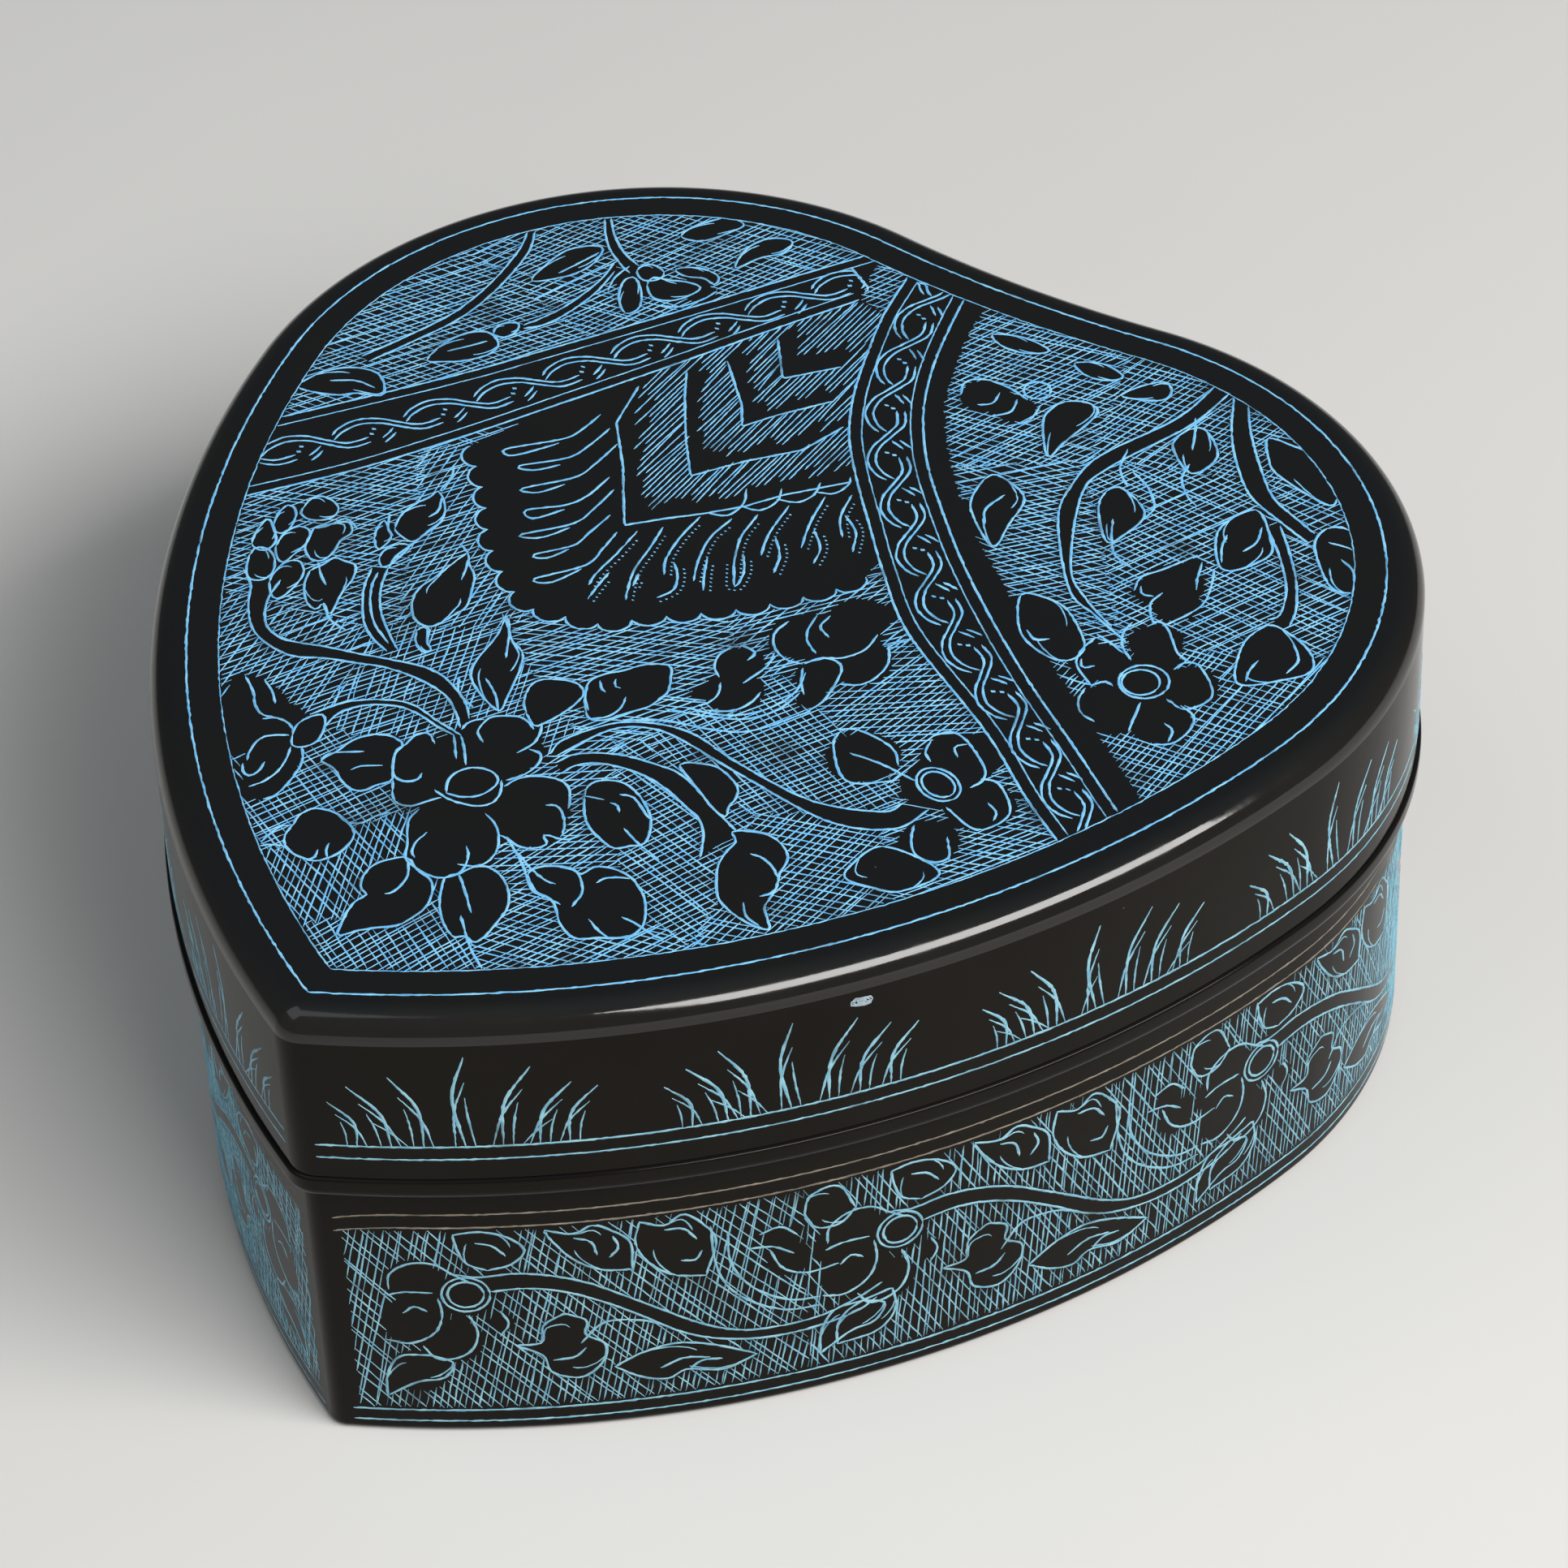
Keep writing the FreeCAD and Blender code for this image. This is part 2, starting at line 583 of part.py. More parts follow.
def make_barrel():
    axis = Vector(value("barrel_x"), value("barrel_y"), 0)
    flange_z = value("barrel_z")
    crown_z = value("crown_z")
    flange = Part.makeCylinder(value("flange_radius"), value("flange_thickness"), Vector(0, 0, flange_z))
    drum = Part.makeCylinder(value("drum_radius"), value("drum_height"), Vector(0, 0, crown_z))
    hollow = Part.makeCylinder(value("drum_radius - drum_wall"), value("drum_height"), Vector(0, 0, crown_z))
    bore = Part.makeCylinder(value("arbor_radius + running_gap"), value("flange_thickness"),
                             Vector(0, 0, flange_z))
    teeth = count("crown_teeth")
    width = value("crown_share") * math.tau * value("crown_radius") / teeth
    prism = tooth_prism(width * value("flank_foot"), width * value("flank_tip"),
                        value("crown_radius - crown_face / 2"), value("flange_radius"),
                        crown_z - value("crown_sink") / 2, crown_z + value("crown_sink + crown_rise"))
    crown = []
    for index in range(teeth):
        tooth = prism.copy()
        tooth.rotate(Vector(), UP, 360 * index / teeth)
        crown.append(tooth)
    shape = flange.fuse([drum.cut(hollow)] + crown).cut(bore).removeSplitter()
    solid("spring_barrel", shape).Placement.Base = axis

    cap = cylinder("cap_disc", ("barrel_x", "barrel_y", "drum_z"), "drum_radius", "cap_thickness")
    bore = cylinder("cap_bore", ("barrel_x", "barrel_y", "drum_z"), "arbor_radius + running_gap",
                    "cap_thickness")
    node("barrel_cap", cut("barrel_cap", cap, bore))
    solid("mainspring", spring_strip()).Placement.Base = axis


def spring_strip():
    """A flat strip coiled as half circles whose radius grows by half a pitch each."""
    pitch = value("spring_pitch")
    half = value("spring_strip") / 2
    first = value("hub_radius + spring_gap") + half
    room = value("drum_radius - drum_wall - end_gap") - half - first
    turns = int(room / pitch)
    bottom = value("crown_z + end_gap")

    def edge(offset):
        arcs = []
        for index in range(2 * turns):
            lower = index % 2
            centre = Vector(pitch / 2 * lower, 0, bottom)
            radius = first + pitch / 2 * index + offset
            circle = Part.Circle(centre, UP, radius)
            arcs.append(Part.ArcOfCircle(circle, math.pi * lower, math.pi * (1 + lower)).toShape())
        return arcs

    inner = edge(-half)
    outer = edge(half)
    last = first + pitch * turns
    start = Part.makeLine(Vector(first - half, 0, bottom), Vector(first + half, 0, bottom))
    finish = Part.makeLine(Vector(last - half, 0, bottom), Vector(last + half, 0, bottom))
    outline = Part.Wire(Part.__sortEdges__(inner + [finish] + outer + [start]))
    return Part.Face(outline).extrude(Vector(0, 0, value("drum_height - 2 * end_gap")))


def make_stem():
    low = "key_ground_gap + key_floor + running_gap"
    stem = cylinder("stem", ("barrel_x", "barrel_y", low), "arbor_radius",
                    f"bridge_top - ({low})")
    hub = cylinder("stem_hub", ("barrel_x", "barrel_y", "crown_z + end_gap"), "hub_radius",
                   "drum_height - 2 * end_gap")
    node("winding_arbor", join("winding_arbor", stem, hub))

    hub = cylinder("key_hub", ("barrel_x", "barrel_y", "key_ground_gap"), "key_hub_radius",
                   "key_top - key_ground_gap")
    web = box("key_web", ("barrel_x - key_wing_reach", "barrel_y - key_thickness / 2",
                          "key_z - key_wing_radius / 2"),
              ("2 * key_wing_reach", "key_thickness", "key_wing_radius"))
    wings = []
    holes = []
    for index, sign in enumerate("-+"):
        place_of = (f"barrel_x {sign} key_wing_reach", "barrel_y - key_thickness / 2", "key_z")
        wings.append(cylinder(f"key_wing_{index}", place_of, "key_wing_radius", "key_thickness", "y"))
        holes.append(cylinder(f"key_eye_{index}", place_of, "key_wing_hole", "key_thickness", "y"))
    bore = cylinder("key_bore", ("barrel_x", "barrel_y", "key_ground_gap + key_floor"),
                    "arbor_radius + running_gap", "key_top - key_ground_gap - key_floor")
    node("winding_key", cut("winding_key", join("key_body", hub, web, *wings), bore, *holes))

    tube = cylinder("bush_tube", ("barrel_x", "barrel_y", "recess_depth"), "bush_radius",
                    "base_thickness")
    rim = cylinder("bush_rim", ("barrel_x", "barrel_y", "recess_depth - bush_flange"),
                   "bush_radius + bush_rim", "bush_flange")
    bore = cylinder("bush_bore", ("barrel_x", "barrel_y", "recess_depth - bush_flange"),
                    "bush_radius - bush_wall", "base_thickness + bush_flange")
    node("stem_bush", cut("stem_bush", join("bush_body", tube, rim), bore))

    wire = value("clutch_wire")
    coil = value("arbor_radius + clutch_gap") + wire
    pitch = value("clutch_pitch")
    turns = value("clutch_turns")
    path = Part.Wire(Part.makeHelix(pitch, pitch * turns, coil))
    section = Part.Wire(Part.Circle(Vector(coil, 0, 0), Vector(0, 1, 0), wire).toShape())
    spring = solid("clutch_spring", path.makePipeShell([section], True, True))
    rise = value("deck_z") - pitch * turns - wire - value("running_gap")
    spring.Placement.Base = Vector(value("barrel_x"), value("barrel_y"), rise)


def make_bridge():
    ends = [("barrel_x", "barrel_y - post_reach"), ("barrel_x", "barrel_y + post_reach")]
    strap = box("bridge_strap", ("barrel_x - bridge_width / 2", "barrel_y - post_reach - bridge_width / 2",
                                 "bridge_z"),
                ("bridge_width", "2 * post_reach + bridge_width", "bridge_thickness"))
    bores = [cylinder("bridge_bore", ("barrel_x", "barrel_y", "bridge_z"),
                      "arbor_radius + running_gap", "bridge_thickness")]
    posts = []
    screws = []
    for index, (x, y) in enumerate(ends):
        bores.append(cylinder(f"bridge_hole_{index}", (x, y, "bridge_z"), "screw_radius + screw_gap",
                              "bridge_thickness"))
        post = cylinder(f"bridge_post_{index}", (x, y, "plate_z"), "post_radius", "bridge_z - plate_z")
        tap = cylinder(f"bridge_tap_{index}", (x, y, "bridge_z - screw_bite"),
                       "screw_radius + screw_gap", "screw_bite")
        posts.append(cut(f"bridge_stand_{index}", post, tap))
        screws.append(screw(f"bridge_screw_{index}", x, y, "bridge_top",
                            "screw_bite + bridge_thickness - tip_gap"))
    node("barrel_bridge", cut("barrel_bridge", strap, *bores))
    node("bridge_posts", group("bridge_posts", *posts))
    node("bridge_screws", group("bridge_screws", *screws))


# Toothed wheels


def toothed_disc(teeth, radius, rise, sink, share, phase, bore, face):
    """A wheel along +X with straight-sided teeth; the phase turns a tooth from -Z towards +Y."""
    step = math.tau / teeth
    half = share * step / 2
    foot = value("gear_foot")
    tip = value("gear_tip")
    corners = ((-foot, radius - sink), (-tip, radius + rise), (tip, radius + rise), (foot, radius - sink))
    points = []
    for index in range(teeth):
        for spread, reach in corners:
            angle = phase + index * step + spread * half
            points.append(Vector(reach * math.cos(angle), reach * math.sin(angle), 0))
    rim = Part.makePolygon(points + points[:1])
    shape = Part.Face(rim).extrude(Vector(0, 0, face)).cut(Part.makeCylinder(bore, face))
    shape.rotate(Vector(), Vector(0, 1, 0), 90)
    return shape


def make_cylinder():
    drum = cylinder("tune_drum", ("cylinder_x", "barrel_y", "axle_z"), "cylinder_radius",
                    "cylinder_length", "x")
    bore = cylinder("tune_bore", ("cylinder_x", "barrel_y", "axle_z"), "axle_radius + running_gap",
                    "cylinder_length", "x")
    node("music_cylinder", cut("music_cylinder", drum, bore))
    node("cylinder_arbor", cylinder("cylinder_arbor", ("arbor_left_x", "barrel_y", "axle_z"),
                                    "axle_radius", "bearing_right_x + bearing_thickness - arbor_left_x",
                                    "x"))
    bore = value("axle_radius + running_gap")
    teeth = count("pinion_teeth")
    pinion = toothed_disc(teeth, value("pinion_radius"), value("crown_rise"), value("crown_sink"),
                          value("crown_share"), math.pi / teeth, bore, value("pinion_face"))
    place_of = Vector(value("barrel_x + crown_radius - pinion_face / 2"), value("barrel_y"), value("axle_z"))
    solid("cylinder_pinion", pinion).Placement.Base = place_of
    wheel = toothed_disc(count("wheel_teeth"), value("wheel_radius"), value("gear_rise"),
                         value("gear_sink"), value("gear_share"), math.pi / 2, bore, value("wheel_face"))
    place_of = Vector(value("wheel_x"), value("barrel_y"), value("axle_z"))
    solid("cylinder_wheel", wheel).Placement.Base = place_of

    pins = []
    notes = count("notes")
    per_note = count("pins_per_note")
    base = value("cylinder_radius - pin_sink")
    for note in range(notes):
        along = value("comb_x - cylinder_x + note_pitch / 2") + value("note_pitch") * note
        for beat in range(per_note):
            pin = Part.makeCylinder(value("pin_radius"), value("pin_rise + pin_sink"),
                                    Vector(along, 0, base))
            angle = value("golden_turn") * note + 360 * beat / per_note
            pin.rotate(Vector(), Vector(1, 0, 0), angle)
            pins.append(pin)
    place_of = Vector(value("cylinder_x"), value("barrel_y"), value("axle_z"))
    solid("cylinder_pins", Part.makeCompound(pins)).Placement.Base = place_of


def make_comb():
    pitch = value("note_pitch")
    slot = value("comb_slot")
    notes = count("notes")
    longest = value("long_tooth")
    shorten = (longest - value("short_tooth")) / (notes - 1)
    width = value("comb_width")
    depth = value("long_tooth + comb_back")
    points = [Vector(0, 0, 0), Vector(width, 0, 0), Vector(width, depth, 0)]
    for note in reversed(range(1, notes)):
        root = depth - longest + shorten * note
        for x, y in ((slot / 2, depth), (slot / 2, root), (-slot / 2, root), (-slot / 2, depth)):
            points.append(Vector(note * pitch + x, y, 0))
    points.append(Vector(0, depth, 0))
    shape = Part.Face(Part.makePolygon(points + points[:1])).extrude(Vector(0, 0, value("comb_thickness")))
    for x in screw_steps():
        hole = Part.makeCylinder(value("screw_radius + screw_gap"), value("comb_thickness"),
                                 Vector(value(x) - value("comb_x"), value("comb_back / 2"), 0))
        shape = shape.cut(hole)
    place_of = Vector(value("comb_x"), value("comb_back_y"), value("comb_z"))
    solid("comb", shape).Placement.Base = place_of

    block = box("rest_block", ("comb_x", "comb_back_y", "plate_z"),
                ("comb_width", "comb_back", "comb_z - plate_z"))
    taps = []
    screws = []
    for index, x in enumerate(screw_steps()):
        y = "comb_back_y + comb_back / 2"
        taps.append(cylinder(f"rest_tap_{index}", (x, y, "comb_z - screw_bite"),
                             "screw_radius + screw_gap", "screw_bite"))
        screws.append(screw(f"comb_screw_{index}", x, y, "comb_z + comb_thickness",
                            "screw_bite + comb_thickness - tip_gap"))
    node("comb_rest", cut("comb_rest", block, *taps))
    node("comb_screws", group("comb_screws", *screws))


def screw_steps():
    return ["comb_x + comb_width / 4", "comb_x + comb_width * 3 / 4"]


# Governor


def frame_screw_places():
    y = "frame_back_y - frame_screw_back"
    return [("frame_left_x + frame_screw_inset", y), ("frame_right_x", y)]


def make_governor():
    base = box("frame_floor", ("frame_left_x", "frame_front_y", "plate_z"),
               ("frame_right_x + frame_wall - frame_left_x + side_gap",
                "frame_back_y + post_depth - frame_front_y", "frame_base"))
    walls = []
    bores = []
    for side in ("left", "right"):
        corner = (f"frame_{side}_x", "frame_front_y", "plate_z")
        walls.append(box(f"frame_wall_{side}", corner,
                         ("frame_wall", "frame_depth", "axle_z + frame_rise - plate_z")))
        bores.append(cylinder(f"frame_bore_{side}", (f"frame_{side}_x", "governor_y", "axle_z"),
                              "governor_axle + running_gap", "frame_wall", "x"))
    post = box("frame_post", ("worm_x - post_width / 2", "frame_back_y", "plate_z"),
               ("post_width", "post_depth", "arm_z + arm_thickness - plate_z"))
    arm = box("frame_arm", ("worm_x - post_width / 4", "worm_y - 2 * pivot_radius", "arm_z"),
              ("post_width / 2", "frame_back_y + post_depth - worm_y + 2 * pivot_radius", "arm_thickness"))
    bores.append(cylinder("frame_pivot_low", ("worm_x", "worm_y", "plate_z"),
                          "pivot_radius + running_gap", "frame_base"))
    bores.append(cylinder("frame_pivot_high", ("worm_x", "worm_y", "arm_z"),
                          "pivot_radius + running_gap", "arm_thickness"))
    screws = []
    for index, (x, y) in enumerate(frame_screw_places()):
        bores.append(cylinder(f"frame_hole_{index}", (x, y, "plate_z"), "screw_radius + screw_gap",
                              "frame_base"))
        bite = "frame_base + plate_thickness - tip_gap"
        screws.append(screw(f"frame_screw_{index}", x, y, "frame_z", bite))
    node("governor_frame", cut("governor_frame", join("frame_body", base, post, arm, *walls), *bores))
    node("governor_screws", group("governor_screws", *screws))

    node("governor_arbor", cylinder("governor_arbor", ("frame_left_x", "governor_y", "axle_z"),
                                    "governor_axle", "frame_right_x + frame_wall - frame_left_x", "x"))
    bore = value("governor_axle + running_gap")
    teeth = count("governor_teeth")
    pinion = toothed_disc(teeth, value("governor_radius"), value("gear_rise"), value("gear_sink"),
                          value("gear_share"), math.pi / teeth - math.pi / 2, bore, value("wheel_face"))
    place_of = Vector(value("wheel_x"), value("governor_y"), value("axle_z"))
    solid("governor_pinion", pinion).Placement.Base = place_of
    wheel = toothed_disc(count("worm_wheel_teeth"), value("worm_wheel_radius"),
                         value("worm_module * worm_rise"), value("worm_module"), value("worm_share"),
                         math.pi / 2, bore, value("worm_wheel_face"))
    place_of = Vector(value("worm_wheel_x"), value("governor_y"), value("axle_z"))
    solid("governor_wheel", wheel).Placement.Base = place_of


def make_worm():
    low = value("frame_z + end_gap")
    high = value("arm_z - end_gap")
    core = value("worm_core")
    pivot_low = value("plate_z + running_gap")
    pivot_high = value("arm_z + arm_thickness")
    shaft = Part.makeCylinder(core, high - low, Vector(0, 0, low))
    pivot = Part.makeCylinder(value("pivot_radius"), pivot_high - pivot_low, Vector(0, 0, pivot_low))
    brake = Part.makeCylinder(value("brake_radius"), value("brake_height"), Vector(0, 0, value("brake_z")))
    starts = count("worm_starts")
    pitch = math.pi * value("worm_module")
    lead = pitch * starts
    bottom = value("axle_z - worm_length / 2")
    # on the wheel's side a gap between threads lies level with the wheel's axis at rest
    first = -90 - 360 * (value("axle_z") + pitch / 2 - bottom) / lead
    width = value("worm_share") * pitch
    outer = value("worm_outer")
    foot = value("worm_core - worm_sink")
    wide = width * value("flank_foot") / 2
    narrow = width * value("flank_tip") / 2
    profile = [Vector(foot, 0, -wide), Vector(outer, 0, -narrow),
               Vector(outer, 0, narrow), Vector(foot, 0, wide)]
    section = Part.makePolygon(profile + profile[:1])
    threads = []
    for index in range(starts):
        path = Part.Wire(Part.makeHelix(lead, value("worm_length"), value("worm_pitch_radius")))
        thread = path.makePipeShell([section], True, True)
        thread.translate(Vector(0, 0, bottom))
        thread.rotate(Vector(), UP, first + 360 * index / starts)
        threads.append(thread)
    shape = shaft.fuse([pivot, brake] + threads)
    solid("worm_shaft", shape).Placement.Base = Vector(value("worm_x"), value("worm_y"), 0)

    hub = cylinder("fan_hub", ("worm_x", "worm_y", "fan_z"), "fan_hub", "fan_height")
    blade = box("fan_blade", ("worm_x - fan_radius", "worm_y - fan_thickness / 2", "fan_z"),
                ("2 * fan_radius", "fan_thickness", "fan_height"))
    bore = cylinder("fan_bore", ("worm_x", "worm_y", "fan_z"), "worm_core + running_gap", "fan_height")
    node("air_brake", cut("air_brake", join("fan_body", hub, blade), bore))


# Stop lever


def make_lever():
    hub = cylinder("lever_hub", ("lever_axis_x", "lever_axis_y", "lever_z"), "lever_hub",
                   "lever_thickness")
    arm = box("lever_arm", ("lever_axis_x - lever_width / 2", "lever_end_y", "lever_z"),
              ("lever_width", "worm_y + lever_width / 2 - lever_end_y", "lever_thickness"))
    pad_arm = box("lever_pad", ("pad_x", "worm_y - lever_width / 2", "lever_z"),
                  ("lever_axis_x - pad_x", "lever_width", "lever_thickness"))
    tab = cylinder("lever_tab", ("lever_axis_x", "lever_end_y", "lever_z"), "lever_tab", "lever_thickness")
    knob = cylinder("lever_knob", ("lever_axis_x", "lever_end_y", "lever_z"), "lever_knob",
                    "lever_thickness + lever_knob_height")
    bore = cylinder("lever_bore", ("lever_axis_x", "lever_axis_y", "lever_z"), "lever_pin + running_gap",
                    "lever_thickness")
    node("stop_lever", cut("stop_lever", join("lever_body", hub, arm, pad_arm, tab, knob), bore))

    top = "lever_z - running_gap"
    post = cylinder("lever_stand", ("lever_axis_x", "lever_axis_y", "plate_z"), "lever_post",
                    f"{top} - plate_z")
    tap = cylinder("lever_tap", ("lever_axis_x", "lever_axis_y", f"{top} - screw_bite"),
                   "screw_radius + screw_gap", "screw_bite")
    node("lever_post", cut("lever_post", post, tap))
    shank = cylinder("pivot_shank", ("lever_axis_x", "lever_axis_y", f"{top} - screw_bite + tip_gap"),
                     "screw_radius", "screw_bite - tip_gap")
    shoulder = cylinder("pivot_shoulder", ("lever_axis_x", "lever_axis_y", top), "lever_pin",
                        "lever_thickness + 2 * running_gap")
    low = "lever_z + lever_thickness + running_gap"
    head = slotted("pivot", "lever_axis_x", "lever_axis_y", low, "lever_cap", "screw_head_height",
                   f"{low} + screw_head_height - slot_depth")
    node("lever_screw", join("lever_screw", shank, shoulder, head))


def write_parts():
    doc.recompute()
    for item in doc.Objects:
        if "Invalid" in item.State or "Error" in item.State:
            raise RuntimeError(f"{item.Name} failed: {item.State}")
    for item in nodes:
        if item.Shape.isNull() or not item.Shape.isValid():
            raise RuntimeError(f"{item.Label} has no valid shape")
    os.makedirs("parts", exist_ok=True)
    for item in nodes:
        item.Shape.exportStep(f"parts/{item.Label}.step")


make_values()
make_case()
make_lid()
make_cover()
make_plate()
make_barrel()
make_stem()
make_bridge()
make_cylinder()
make_comb()
make_governor()
make_worm()
make_lever()
write_parts()
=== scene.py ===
"""Heart-shaped lacquer music box: finishes, incised ornament, light and camera.

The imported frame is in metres. Outlines and ornament are worked out in millimetres and scaled once.
"""
import json
import math

import bmesh
import bpy
import numpy as np
from mathutils import Matrix, Vector


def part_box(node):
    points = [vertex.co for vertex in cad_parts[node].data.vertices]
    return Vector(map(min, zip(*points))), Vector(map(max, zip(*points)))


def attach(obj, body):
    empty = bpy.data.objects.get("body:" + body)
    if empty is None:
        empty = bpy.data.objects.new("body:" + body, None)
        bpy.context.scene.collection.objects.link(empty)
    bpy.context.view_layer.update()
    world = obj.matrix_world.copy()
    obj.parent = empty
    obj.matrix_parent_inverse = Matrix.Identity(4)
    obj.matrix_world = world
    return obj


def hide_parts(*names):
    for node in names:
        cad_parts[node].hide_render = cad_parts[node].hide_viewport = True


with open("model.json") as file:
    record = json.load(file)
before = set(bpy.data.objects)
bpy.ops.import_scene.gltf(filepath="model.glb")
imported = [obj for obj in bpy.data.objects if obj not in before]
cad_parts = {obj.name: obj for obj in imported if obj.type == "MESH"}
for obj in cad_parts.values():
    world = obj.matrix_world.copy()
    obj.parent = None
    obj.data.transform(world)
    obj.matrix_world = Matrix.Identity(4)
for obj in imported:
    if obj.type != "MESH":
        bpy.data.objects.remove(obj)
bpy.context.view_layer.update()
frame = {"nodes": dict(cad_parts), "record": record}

MM = 0.001
TINY = 1e-9
SEED = 20
dice = np.random.default_rng(SEED)

# Sizes read from the frame, in millimetres
lid_low, lid_high = (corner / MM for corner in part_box("lid_shell"))
case_low, case_high = (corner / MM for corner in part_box("case_wall"))
lining_low, lining_high = (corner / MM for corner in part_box("lid_lining"))
panel_low, _ = (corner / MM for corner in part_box("base_panel"))

# Arcs of the heart and the make-up of its nested outlines
LOBE_RADIUS = 37.3
SIDE_RADIUS = 99.0
CLEFT_RADIUS = 119.0
NOSE_RADIUS = 3.2
INNER_NOSE = 1.0
LEAST_NOSE = 0.12
LID_INSET = 3.05
CASE_INSET = 1.25
WALL_INSET = 3.25
SKIRT_INSET = 5.25
LID_EDGE = 2.8
LID_LIP = 1.2
SHOULDER = 0.3
BEAD_TOP = 30.9
FOOT_EDGE = 0.8
ARC_STEPS = {"nose": 10, "side": 150, "lobe": 170, "cleft": 40}
ROUND_STEPS = 14
TOP_MARGIN = 0.3

# The lacquer lies this far inside the solids, so that the incised lines stay within their box
SKIN = 0.06
INK_RISE = 0.035
INK_SINK = 0.02

WIDTH = lid_high.x - lid_low.x - 2 * SKIN
LENGTH = lid_high.y - lid_low.y - 2 * SKIN
LID_TOP = lid_high.z - SKIN


# Outlines


class Heart:
    """The heart outline set in from the outside of the lid: points, outward normals and lengths.

    Half of it is kept, from the tip round the right lobe to the cleft; the left half mirrors it.
    """

    def __init__(self, inset, nose=None):
        lobe = np.array([WIDTH / 2 - LOBE_RADIUS, LENGTH / 2 - LOBE_RADIUS])
        tip_y = NOSE_RADIUS - LENGTH / 2
        rise = lobe[1] - tip_y
        reach = math.hypot(lobe[0], rise)
        inner_side = SIDE_RADIUS - NOSE_RADIUS
        along = (inner_side ** 2 - (SIDE_RADIUS - LOBE_RADIUS) ** 2 + reach ** 2) / (2 * reach)
        across = math.sqrt(inner_side ** 2 - along ** 2)
        side = np.array([
            -(across * rise - along * lobe[0]) / reach,
            tip_y + (along * rise + across * lobe[0]) / reach,
        ])
        cleft = np.array([0, lobe[1] + math.sqrt((LOBE_RADIUS + CLEFT_RADIUS) ** 2 - lobe[0] ** 2)])
        nose = max(NOSE_RADIUS - inset, LEAST_NOSE) if nose is None else nose
        side_radius = SIDE_RADIUS - inset
        nose_y = side[1] - math.sqrt((side_radius - nose) ** 2 - side[0] ** 2)
        low = math.atan2(nose_y - side[1], -side[0])
        high = math.atan2(lobe[1] - side[1], lobe[0] - side[0])
        inner = math.atan2(cleft[1] - lobe[1], -lobe[0])
        dip = math.atan2(lobe[1] - cleft[1], lobe[0])
        arcs = (
            ((0, nose_y), nose, -math.pi / 2, low, ARC_STEPS["nose"], 1),
            (side, side_radius, low, high, ARC_STEPS["side"], 1),
            (lobe, LOBE_RADIUS - inset, high, inner, ARC_STEPS["lobe"], 1),
            (cleft, CLEFT_RADIUS + inset, dip, -math.pi / 2, ARC_STEPS["cleft"], -1),
        )
        points = []
        normals = []
        for index, (centre, radius, start, end, steps, sign) in enumerate(arcs):
            turn = np.linspace(start, end, steps + 1)[min(index, 1):]
            ray = np.c_[np.cos(turn), np.sin(turn)]
            points.append(np.asarray(centre) + radius * ray)
            normals.append(sign * ray)
        self.points = np.vstack(points)
        self.normals = np.vstack(normals)
        self.lengths = lengths_along(self.points)
        self.half = self.lengths[-1]

    def loop(self):
        left = self.points[-2:0:-1] * (-1, 1)
        return np.vstack([self.points, left])

    def at(self, along):
        """Points and outward normals at signed lengths from the tip, the right side positive."""
        away = np.clip(np.abs(along), 0, self.half)
        sign = np.where(np.asarray(along) < 0, -1.0, 1.0)
        spot, normal = (between(away, self.lengths, table) * np.c_[sign, np.ones_like(sign)]
                        for table in (self.points, self.normals))
        return spot, normal / np.linalg.norm(normal, axis=1)[:, None]


# Curves

CURVE_STEP = 0.3
LINE_STEP = 0.25
CIRCLE_STEPS = 28


def lengths_along(line):
    return np.r_[0, np.cumsum(np.hypot(*np.diff(line, axis=0).T))]


def between(where, lengths, table):
    """Rows of a table at lengths along its curve."""
    return np.c_[np.interp(where, lengths, table[:, 0]), np.interp(where, lengths, table[:, 1])]


def headings(line):
    """Unit directions along a line."""
    along = np.gradient(line, axis=0)
    return along / (np.linalg.norm(along, axis=1)[:, None] + TINY)


def to_left(along):
    return np.c_[-along[:, 1], along[:, 0]]


def smooth(points, closed=False):
    """A curve through given points."""
    p = np.asarray(points, float)
    if closed:
        p = np.vstack([p[-1:], p, p[:2]])
    else:
        p = np.vstack([2 * p[0] - p[1], p, 2 * p[-1] - p[-2]])
    runs = []
    for a, b, c, d in zip(p, p[1:], p[2:], p[3:]):
        count = max(2, int(np.hypot(*(c - b)) / CURVE_STEP) + 1)
        t = np.linspace(0, 1, count, endpoint=False)[:, None]
        runs.append(0.5 * (2 * b + (c - a) * t + (2 * a - 5 * b + 4 * c - d) * t ** 2
                           + (3 * b - a - 3 * c + d) * t ** 3))
    runs.append(p[-2:-1])
    return np.vstack(runs)


def beside(points, gap):
    """The same curve shifted to its left."""
    line = smooth(points)
    return line + gap * to_left(headings(line))


def evenly(line, step=LINE_STEP):
    """Points of a line at even steps."""
    line = np.asarray(line, float)
    lengths = lengths_along(line)
    count = max(2, int(round(lengths[-1] / step)) + 1)
    return between(np.linspace(0, lengths[-1], count), lengths, line)


def circle(x, y, wide, tall=None, turn=0.0, count=CIRCLE_STEPS):
    """A circle or a turned oval that ends where it starts."""
    angle = np.linspace(0, math.tau, count, endpoint=False)
    tall = wide if tall is None else tall
    flat = np.c_[wide * np.cos(angle), tall * np.sin(angle)]
    c, s = math.cos(math.radians(turn)), math.sin(math.radians(turn))
    ring = flat @ np.array([[c, s], [-s, c]]) + (x, y)
    return np.vstack([ring, ring[:1]])


